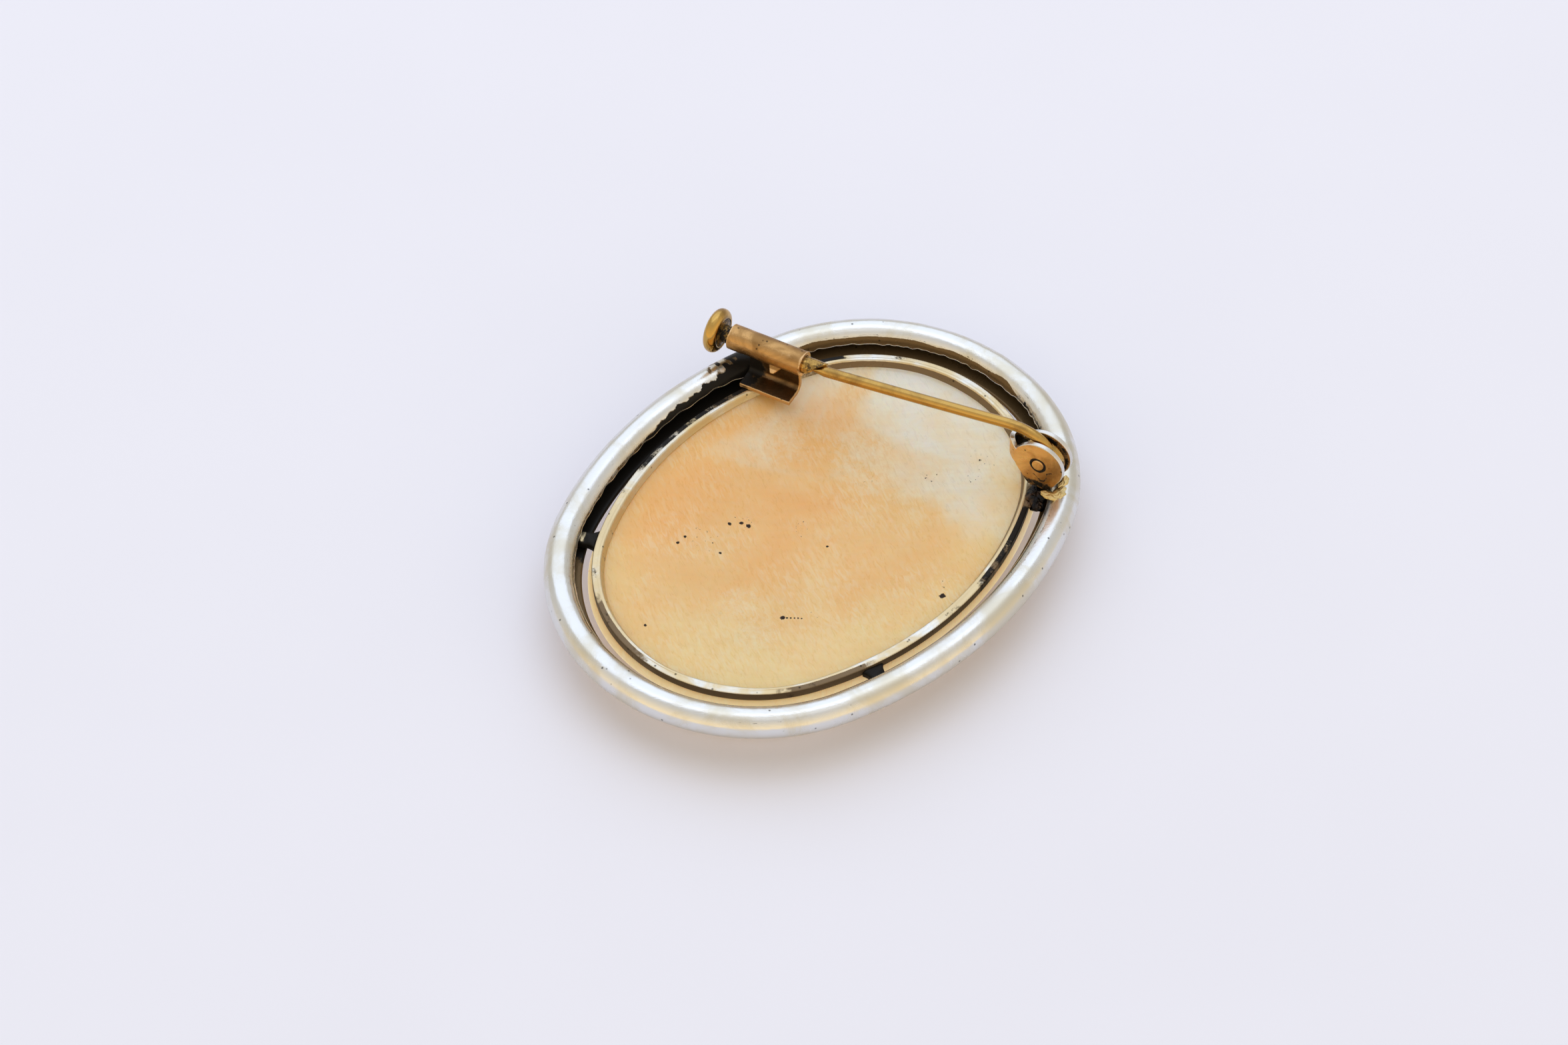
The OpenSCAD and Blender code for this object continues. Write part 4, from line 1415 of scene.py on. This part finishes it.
@dataclass
class TubeCatch:
    """The fixed slit tube on its bent bracket.

    Attributes:
        span: Its ends on the pin line.
        outer: Outer radius.
        bore: Inner radius.
        slit_w: Width of the slit.
        slit_from: Where the slit starts.
        slit_end: Length of the slit's round end.
        slit_turn: Direction of the slit round the tube, in degrees from the near side downwards.
        foot: Ends of the bracket on the pin line.
        sheet: Thickness of the bracket's sheet.
        bend: Radius of its bend.
        wall_y: y of the bracket's wall.
        foot_reach: Reach of its foot towards the near side.
    """

    span: tuple[float, float] = (-31.253, -23.853)
    outer: float = 1.2
    bore: float = 0.875
    slit_w: float = 0.8
    slit_from: float = -29.853
    slit_end: float = 0.45
    slit_turn: float = 45.0
    foot: tuple[float, float] = (-29.303, -24.153)
    sheet: float = 0.45
    bend: float = 0.5
    wall_y: float = -0.125
    foot_reach: float = 2.0

    def tube(self) -> Patch:
        """The tube's outer sheet: radius * (cos a, sin a) about its axis.

        The angle a runs from slit edge to slit edge. Half the slit's angle is asin(width / 2 / radius); it
        shrinks to a round end where the slit starts, and to a closed seam beyond. Edges are bright, a lighter
        band along the upper near side is a painted highlight, and the outer end is dirty below.

        Returns:
            The sheet.
        """
        start, stop = self.span
        rounding = self.slit_end * (1 - np.cos(np.linspace(0, math.pi / 2, 9)))
        s = np.concatenate([np.linspace(start, self.slit_from - 0.02, 10), self.slit_from + rounding,
                            np.linspace(self.slit_from + self.slit_end + 0.15, stop, 22)])[:, None]
        share = np.clip((s - self.slit_from) / self.slit_end, 0, 1)
        widest, hairline = math.asin(self.slit_w / 2 / self.outer), 0.004
        gap = np.where(s < self.slit_from, hairline, widest * np.sqrt(np.clip(1 - (1 - share) ** 2, 1e-5, 1)))
        v = np.linspace(0, 1, 73)
        a = math.radians(180 + self.slit_turn) + gap + v * (TURN - 2 * gap)
        r = self.outer - 0.01
        points = PIN_LINE.place(s, r * np.cos(a), CATCH_Z + r * np.sin(a))
        edge = np.minimum(np.minimum(v, 1 - v) * 7.2, np.minimum(s - start, stop - s))
        # the second term is a painted highlight: a lighter band along the tube's upper near side
        accent = 0.8 * smooth(1 - edge / 0.16) + 0.35 * np.exp(-((np.degrees(a) - 480) / 20) ** 2)
        dirt = 0.3 * smooth((start + 0.9 - s) / 0.9) * smooth((v - 0.75) * 8)
        return Patch(points, marks={"dirt": dirt, "accent": accent})

    def bracket(self) -> Patch:
        """The bent sheet: a wall under the tube, a tight bend, and a foot towards the near side.

        Its line in section goes down at wall_y, round a quarter circle, and out level. It is dirty in the
        bend and at its outer end, and its edges are bright.

        Returns:
            The sheet.
        """
        top, bottom = CATCH_Z - self.bore - 0.1, self.sheet + self.bend
        face = self.wall_y - self.sheet / 2
        q = np.linspace(0, math.pi / 2, 9)[1:]
        foot = np.linspace(face - self.bend, face - self.foot_reach, 12)[1:]
        fall = np.linspace(top, bottom, 10)
        y = np.concatenate([0 * fall + face, face - self.bend * (1 - np.cos(q)), foot])
        z = np.concatenate([fall, bottom - self.bend * np.sin(q), 0 * foot + self.sheet])
        start, stop = self.foot
        s = np.linspace(start, stop, 24)[:, None]
        edge = np.minimum(stop - s, y - y[-1] + (z - z[-1]))
        accent = smooth(1 - edge / 0.14)
        dirt = (0.35 * smooth(1 - np.abs(z - 1.3) / 1.5) + 0.7 * smooth((start + 3.0 - s) / 3)) * (1 - accent)
        return Patch(PIN_LINE.place(s, y, z), marks={"dirt": dirt, "accent": 0.9 * accent})

    def build(self, finishes: Finishes) -> None:
        """Makes the tube and the bracket."""
        tube = to_mesh("catch_tube", [self.tube()])
        thicken(tube, self.outer - self.bore, 0.07)
        hand_over(tube, Body.BROOCH, Slot.ROSE_GOLD, finishes.rose, "setting")
        bracket = to_mesh("catch_bracket", [self.bracket()])
        thicken(bracket, self.sheet, 0.1)
        hand_over(bracket, Body.BROOCH, Slot.ROSE_GOLD, finishes.bronze, "setting")


@dataclass
class Plunger:
    """The sliding tube with its quill tip, its stop and its knob.

    Attributes:
        outer: Outer radius.
        bore: Inner radius.
        tip: Where the quill ends.
        cut: Length of the slanted cut.
        cut_turn: Direction of the quill's longest side, in degrees from the far side over the top.
        bore_end: Where the bore ends.
        knob_at: Middle of the knob.
        knob_r: Radius of the knob.
        knob_t: Thickness of its rim.
        stop_at: Where the stop stands.
        stop_turn: Its direction round the tube, in degrees from the far side over the top.
        stop_sides: Distance from the axis, then s of the stop's left and right side there.
        cols: Points round the tube.
    """

    outer: float = 0.825
    bore: float = 0.575
    tip: float = -21.753
    cut: float = 1.8
    cut_turn: float = 48.0
    bore_end: float = -26.253
    knob_at: float = -32.778
    knob_r: float = 2.1
    knob_t: float = 1.25
    stop_at: float = -26.403
    stop_turn: float = 225.0
    stop_sides: Table = ((0.68, -0.59, 0.59), (1.2, -0.59, 0.59), (1.84, -0.27, 0.09))
    cols: int = 64

    def quill(self) -> Patch:
        """The sliding tube's outer sheet, whose right end is slanted.

        The end at angle a lies at tip - cut * (1 - cos(a - cut_turn)) / 2. Its very edge is bright.

        Returns:
            The sheet.
        """
        v, a = np.linspace(0, 1, 40)[:, None], around(self.cols)
        end = self.tip - self.cut * (1 - np.cos(a - math.radians(self.cut_turn))) / 2
        s = self.bore_end + (end - self.bore_end) * v
        points = PIN_LINE.place(s, self.outer * np.cos(a), CATCH_Z + self.outer * np.sin(a))
        marks = {"dirt": 0.52 + 0.2 * smooth(1 - v * 3), "accent": 0.7 * smooth(v * 20 - 18.6)}
        return Patch(points, round_cols=True, marks=marks)

    def shank(self) -> Patch:
        """The solid part from the knob to the bore: a plain round bar, dirty behind the knob.

        Returns:
            The closed bar.
        """
        s = np.linspace(self.knob_at, self.bore_end, 24)
        points = lathe(s, np.full(s.size, self.outer), self.cols)
        dirt = 0.75 * smooth((self.knob_at + 2.4 - s) / 0.9)[:, None]
        return Patch(points, round_cols=True, capped=True, marks={"dirt": dirt})

    def knob(self) -> Patch:
        """The knob: a profile from the domed face round the rim to the hollow behind, turned about the axis.

        Returns:
            The closed knob.
        """
        half, edge = self.knob_t / 2, 0.97
        rim = self.knob_r - half
        a = np.radians(np.linspace(100, -100, 24))
        face, back = np.linspace(0.05, edge, 12), np.linspace(edge, 0.45, 8)
        dome, hollow = 0.01 - half - 0.3 * (1 - face**2), half - 0.03 + 0.25 * (edge - back)
        s = self.knob_at + np.concatenate([dome, -half * np.sin(a), hollow])
        radii = np.concatenate([face * rim, rim + half * np.cos(a), back * rim])
        dirt = np.repeat([0.1, 0.0, 0.7], [face.size, a.size, back.size])[:, None]
        return Patch(lathe(s, radii, self.cols), round_cols=True, capped=True, marks={"dirt": dirt})

    def stop(self) -> Patch:
        """The stop: a tab that stands out of the slit and narrows outwards.

        Its section is a superellipse of power 4 between the two sides, which are read off their table by the
        distance from the axis; its outer end is bright.

        Returns:
            The closed tab.
        """
        steps, left_s, right_s = np.array(self.stop_sides).T
        out = np.linspace(steps[0], steps[-1], 14)[:, None]
        left, right = np.interp(out, steps, left_s), np.interp(out, steps, right_s)
        x, y = squarish(around(24), 4)
        along = self.stop_at + (left + right) / 2 + (right - left) / 2 * x
        across = (0.24 - 0.04 * (out - steps[0])) * y
        c, n = math.cos(math.radians(self.stop_turn)), math.sin(math.radians(self.stop_turn))
        points = PIN_LINE.place(along, out * c - across * n, CATCH_Z + out * n + across * c)
        marks = {"dirt": 0.2, "accent": smooth((out - 1.3) / 0.3)}
        return Patch(points, round_cols=True, capped=True, flip=True, marks=marks)

    def build(self, finishes: Finishes) -> None:
        """Makes the quill, the shank with knob, and the stop."""
        quill = to_mesh("plunger_quill", [self.quill()])
        thicken(quill, self.outer - self.bore, 0.05)
        hand_over(quill, Body.PLUNGER, Slot.BRASS, finishes.brass, "plunger")
        knob = to_mesh("plunger_knob", [self.shank(), self.knob()])
        hand_over(knob, Body.PLUNGER, Slot.BRASS, finishes.brass, "plunger")
        stop = to_mesh("plunger_stop", [self.stop()])
        hand_over(stop, Body.PLUNGER, Slot.ROSE_GOLD, finishes.rose, "plunger")


@dataclass
class Hinge:
    """Two round ears, the bend that joins them with the black crust in it, and the rivet.

    Attributes:
        gap: Gap between the ears.
        ear_t: Thickness of an ear.
        outline: Angle in degrees and radius of points of an ear's outline round the rivet.
        bend_at: s of the middle of the bend.
        bend_from: s at which it leaves the ears.
        bend_z: Lower and upper height of the bend.
        crust_t: Thickness of the crust.
    """

    gap: float = 1.2
    ear_t: float = 0.45
    outline: Table = (
        (-75, 3.0), (-62, 2.75), (-40, 2.42), (-10, 2.43), (25, 2.45), (60, 2.45), (95, 2.45), (125, 2.43),
        (150, 2.42), (180, 2.42), (212, 2.3), (232, 2.35), (247, 2.75), (257, 2.95), (270, 2.75))
    bend_at: float = -2.15
    bend_from: float = -1.3
    bend_z: tuple[float, float] = (3.35, 5.15)
    crust_t: float = 0.04

    def ear(self, y: float) -> Patch:
        """One ear: rings from the rivet's hole to the outline, radius = hole + (outline - hole) * share.

        Round the rivet, at the foot and in a curved streak the ear is dirty; the far ear, whose inner side
        shows, is darkened all over. The edge is bright above.

        Args:
            y: y of its outer face.

        Returns:
            The face as a sheet.
        """
        d, share = around(128), np.linspace(0, 1, 14)[:, None]
        edge = np.interp(np.degrees(d), *np.array(self.outline).T, period=360)
        weight = np.hanning(9) / np.hanning(9).sum()
        edge = np.convolve(np.pad(edge, weight.size // 2, mode="wrap"), weight, "valid")
        r = HOLE_R + (edge - HOLE_R) * share
        low = smooth((-1.1 - r * np.sin(d)) / 1.3)
        arc = (share * 2.2 - 0.95 - 0.25 * np.cos(d * 5)) / 0.22
        streak = np.exp(-arc**2) * smooth(np.cos(d - 5.0) * 1.6)
        # the last term darkens the whole far ear, whose inner side shows
        dirt = highest(1.5 * smooth(1 - share * 4.5), 0.75 * low, 0.75 * streak, 0.72 * (y > 0))
        accent = smooth((share - 0.9) / 0.08) * (1 - low) * smooth(np.cos(d - 0.7) * 2.5 + 1.2)
        points = PIN_LINE.place(r * np.cos(d), y, AXLE_Z + r * np.sin(d))
        return Patch(points, round_cols=True, marks={"dirt": dirt * (1 - accent), "accent": accent})

    def bend(self, lining: bool) -> Patch:
        """A strip that runs from the far ear round a half circle to the near ear.

        Its upper edge is highest in the middle of the half circle and dips where it meets the ears, and its
        lower edge reaches down at the near ear.

        Args:
            lining: Whether this is the black crust on its inner side.

        Returns:
            The strip.
        """
        half = self.gap / 2 + (self.crust_t / 2 if lining else self.ear_t - 0.02)
        a = np.linspace(math.pi / 2, 3 * math.pi / 2, 33)
        straight = np.linspace(self.bend_from, self.bend_at, 6)[:-1]
        s = np.concatenate([straight, self.bend_at + half * np.cos(a), straight[::-1]])[:, None]
        y = np.concatenate([0 * straight + half, half * np.sin(a), 0 * straight - half])[:, None]
        bottom, height = self.bend_z[0], self.bend_z[1] - self.bend_z[0]
        top = bottom + height * (0.62 + 0.38 * smooth((self.bend_at - s) / 0.8)) - 0.22 * lining
        low = bottom - 0.9 * smooth((s + 3.3) / 1.6) * (y < 0)
        v = np.linspace(0, 1, 12)
        marks = {"dirt": 0.95, "accent": 0.0} if lining else {"dirt": 0.1, "accent": smooth(v * 12 - 10.8)}
        return Patch(PIN_LINE.place(s, y, low + (top - low) * v), flip=True, marks=marks)

    def rivet(self) -> Patch:
        """The rivet: a bar with flat ends across the pin line, radius * (cos a, sin a) round its axis.

        Returns:
            The closed bar.
        """
        half, ends, a = self.gap / 2 + self.ear_t + 0.08, np.array([0.3, 0.65, 0.92]), around(40)
        y = np.concatenate([0 * ends - half, np.linspace(-half, half, 8), 0 * ends + half])[:, None]
        r = RIVET_R * np.concatenate([ends, np.ones(8), ends[::-1]])[:, None]
        points = PIN_LINE.place(r * np.cos(a), y, AXLE_Z + r * np.sin(a))
        return Patch(points, round_cols=True, capped=True, flip=True, marks={"dirt": 0.25})

    def build(self, finishes: Finishes) -> None:
        """Makes the ears, the bend, its crust and the rivet."""
        half = self.gap / 2 + self.ear_t
        for name, patch, wall, rounding, inwards in (
                ("ear_near", self.ear(-half), self.ear_t, 0.09, False),
                ("ear_far", self.ear(half), self.ear_t, 0.09, True),
                ("hinge_bend", self.bend(lining=False), self.ear_t - 0.04, 0.1, True),
                ("bend_crust", self.bend(lining=True), self.crust_t, 0.01, True)):
            sheet = to_mesh(name, [patch])
            thicken(sheet, wall, rounding, inwards)
            hand_over(sheet, Body.BROOCH, Slot.ROSE_GOLD, finishes.gilt, "setting")
        rivet = to_mesh("hinge_rivet", [self.rivet()])
        hand_over(rivet, Body.BROOCH, Slot.BRASS, finishes.gilt, "rivet")


@dataclass
class PinWire:
    """The pin: its bowed stem, its bend over the hinge, and its flat eye.

    Attributes:
        path: s and z of points from the tip to the eye.
        radius: Radius of the wire.
        taper: Length of the sharpened point.
        tip_r: Radius at the very tip.
        eye_r: Radius of the eye.
        eye_t: Thickness of the eye.
    """

    path: Table = (
        (-23.653, 3.32), (-21.7, 3.555), (-19.6, 3.83), (-17.3, 4.13), (-15.3, 4.4), (-13.1, 4.7),
        (-10.9, 5.0), (-8.8, 5.3), (-6.7, 5.6), (-4.7, 5.9), (-3.4, 6.08), (-2.6, 6.13), (-1.8, 6.07),
        (-1.0, 5.85), (-0.3, 5.55), (0.35, 5.1), (0.9, 4.5), (1.2, 3.9), (1.25, 3.4))
    radius: float = 0.49
    taper: float = 1.9
    tip_r: float = 0.15
    eye_r: float = 2.05
    eye_t: float = 0.9

    def stem(self) -> Patch:
        """The wire: a round section along a smooth line through the path's points.

        The radius grows from the tip's to the wire's over the taper. The wire flattens towards the eye and is
        dirty there.

        Returns:
            The closed wire.
        """
        line = smooth_line(self.path, 400, 29)
        at = np.concatenate([[0], np.cumsum(np.linalg.norm(np.diff(line, axis=0), axis=1))])
        to_eye = at[-1] - at
        radii = np.interp(at, [0, 0.08, self.taper], [self.tip_r * 0.4, self.tip_r, self.radius])
        flat = 1 - 0.1 * smooth((4 - to_eye) / 3)
        side = PIN_LINE.place(0, 1, 0) - PIN_LINE.place(0, 0, 0)
        points = wire(PIN_LINE.place(line[:, 0], 0, line[:, 1]), side, radii, flat, 32)
        dirt = 0.35 * smooth((3.4 - to_eye) / 2)[:, None]
        return Patch(points, round_cols=True, capped=True, marks={"dirt": dirt})

    def eye(self) -> Patch:
        """The eye: a thick ring, turned about the rivet.

        Its section is a superellipse of power 6 between the rivet's hole and the eye's edge.

        Returns:
            The closed ring.
        """
        middle, half = (self.eye_r + HOLE_R) / 2, (self.eye_r - HOLE_R) / 2
        x, y = squarish(around(32), 6)
        a, r = around(72)[:, None], middle + half * x
        points = PIN_LINE.place(r * np.cos(a), self.eye_t / 2 * y, AXLE_Z + r * np.sin(a))
        return Patch(points, round_rows=True, round_cols=True, marks={"dirt": 0.5})

    def build(self, finishes: Finishes) -> None:
        """Makes the wire with its eye."""
        pin = to_mesh("pin_wire", [self.stem(), self.eye()])
        hand_over(pin, Body.PIN, Slot.BRASS, finishes.brass, "pin")


# ---------------------------------------------------------------- studio

@dataclass(frozen=True)
class Lamp:
    """A soft square light that shines at the brooch.

    Attributes:
        name: Its name.
        toward: Direction from the brooch to the light.
        away: Its distance.
        size: Its side.
        power: Its power, in watts.
        colour: Its colour.
    """

    name: str
    toward: tuple[float, float, float]
    away: float
    size: float
    power: float
    colour: Colour

    def build(self) -> None:
        """Adds the light, turned to the brooch."""
        data = bpy.data.lights.new(self.name, "AREA")
        data.size, data.energy, data.color = self.size * MM, self.power, self.colour
        lamp = bpy.data.objects.new(self.name, data)
        way = np.array(self.toward) / np.linalg.norm(self.toward)
        lamp.location = (way * self.away * MM).tolist()
        lamp.rotation_mode = "QUATERNION"
        lamp.rotation_quaternion = Vector(way.tolist()).to_track_quat("Z", "Y")
        bpy.context.scene.collection.objects.link(lamp)


@dataclass
class Studio:
    """The floor, the light and the camera.

    Attributes:
        azimuth: Camera's direction round the brooch, in degrees.
        elevation: Camera's height over the horizon, in degrees.
        distance: Camera's distance.
        aside: How far the view's middle lies from the oval's middle, to the right and up.
        lens: Focal length for a 36 mm sensor.
        behind: Light of the tent's far wall.
        front: Light of its near wall.
        zenith: Light of its top.
        near_wall: Direction of the near wall.
        lamps: The lights.
    """

    azimuth: float = 42.24
    elevation: float = 48.65
    distance: float = 400.0
    aside: tuple[float, float] = (-2.697, -0.4055)
    lens: float = 104.082
    behind: Colour = (0.66, 0.64, 0.60)
    front: Colour = (1.34, 1.07, 0.66)
    zenith: Colour = (0.69, 0.69, 0.69)
    near_wall: tuple[float, float, float] = (0.672, -0.74, 0.0)
    lamps: tuple[Lamp, ...] = (
        Lamp("key", (-0.75, 0.55, 1.25), 700, 900, 1.62, (0.80, 0.97, 1.27)),
        Lamp("ceiling", (0.05, 0.15, 1.0), 900, 760, 0.5, (1.0, 0.98, 0.95)))

    def axes(self) -> tuple[np.ndarray, np.ndarray, np.ndarray]:
        """The camera's directions, from its azimuth and its elevation.

        Returns:
            Right, up and backward.
        """
        a, e = math.radians(self.azimuth), math.radians(self.elevation)
        back = np.array([math.sin(a) * math.cos(e), -math.cos(a) * math.cos(e), math.sin(e)])
        right = np.array([math.cos(a), math.sin(a), 0.0])
        return right, np.cross(back, right), back

    def place_camera(self) -> None:
        """Sets the camera where the photograph was taken from."""
        right, up, back = self.axes()
        eye = np.array([0, 0, RIM_Z]) + back * self.distance + right * self.aside[0] + up * self.aside[1]
        data = bpy.data.cameras.new("camera")
        data.sensor_width, data.lens = 36.0, self.lens
        data.clip_start, data.clip_end = 0.01, 20.0
        camera = bpy.data.objects.new("camera", data)
        turned = np.eye(4)
        turned[:3, :3] = np.stack([right, up, back], -1)
        turned[:3, 3] = eye * MM
        camera.matrix_world = Matrix(turned.tolist())
        bpy.context.scene.collection.objects.link(camera)
        bpy.context.scene.camera = camera

    def lay_floor(self) -> None:
        """Lays a pale sheet that runs far beyond the view, a hair under the brooch."""
        side = np.linspace(-3000, 3000, 9)
        x, y = np.meshgrid(side, side, indexing="ij")
        floor = to_mesh("floor", [Patch(np.stack([x, y, 0 * x - 0.01], -1), flip=True)])
        floor.data.materials.append(Paper().material())

    def hang_sky(self) -> None:
        """A pale sky like a light tent: its near wall is brighter and warmer than its far wall."""
        world = bpy.data.worlds.new("tent")
        world.use_nodes = True
        bpy.context.scene.world = world
        t = Tree(world.node_tree)
        way = t.put("TexCoord", {}).outputs["Generated"]
        height = t.put("SeparateXYZ", {0: way}).outputs[2]
        near_side = t.put("VectorMath", {0: way, 1: self.near_wall}, operation="DOT_PRODUCT").outputs["Value"]
        wall = t.mix(t.ramp(near_side, -0.6, 0.6), self.behind, self.front)
        back = world.node_tree.nodes["Background"]
        t.fill(back, {"Color": t.mix(height, wall, self.zenith), "Strength": 1.0})

    def build(self) -> None:
        """Makes floor, sky, lights and camera."""
        self.lay_floor()
        self.hang_sky()
        for lamp in self.lamps:
            lamp.build()
        self.place_camera()
        bpy.context.scene.view_settings.view_transform = "Standard"


def main() -> None:
    """Builds the brooch piece by piece, then the studio round it."""
    logging.basicConfig(level=logging.INFO, format="%(name)s %(message)s")
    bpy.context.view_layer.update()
    finishes = Finishes()
    setting = (TubeFrame(), Collet(), Posts(), Solder())
    for part in (*setting, Cameo(), TubeCatch(), Plunger(), Hinge(), PinWire()):
        part.build(finishes)
        LOG.info("%s done", type(part).__name__)
    Studio().build()


if __name__ == "__main__":
    main()
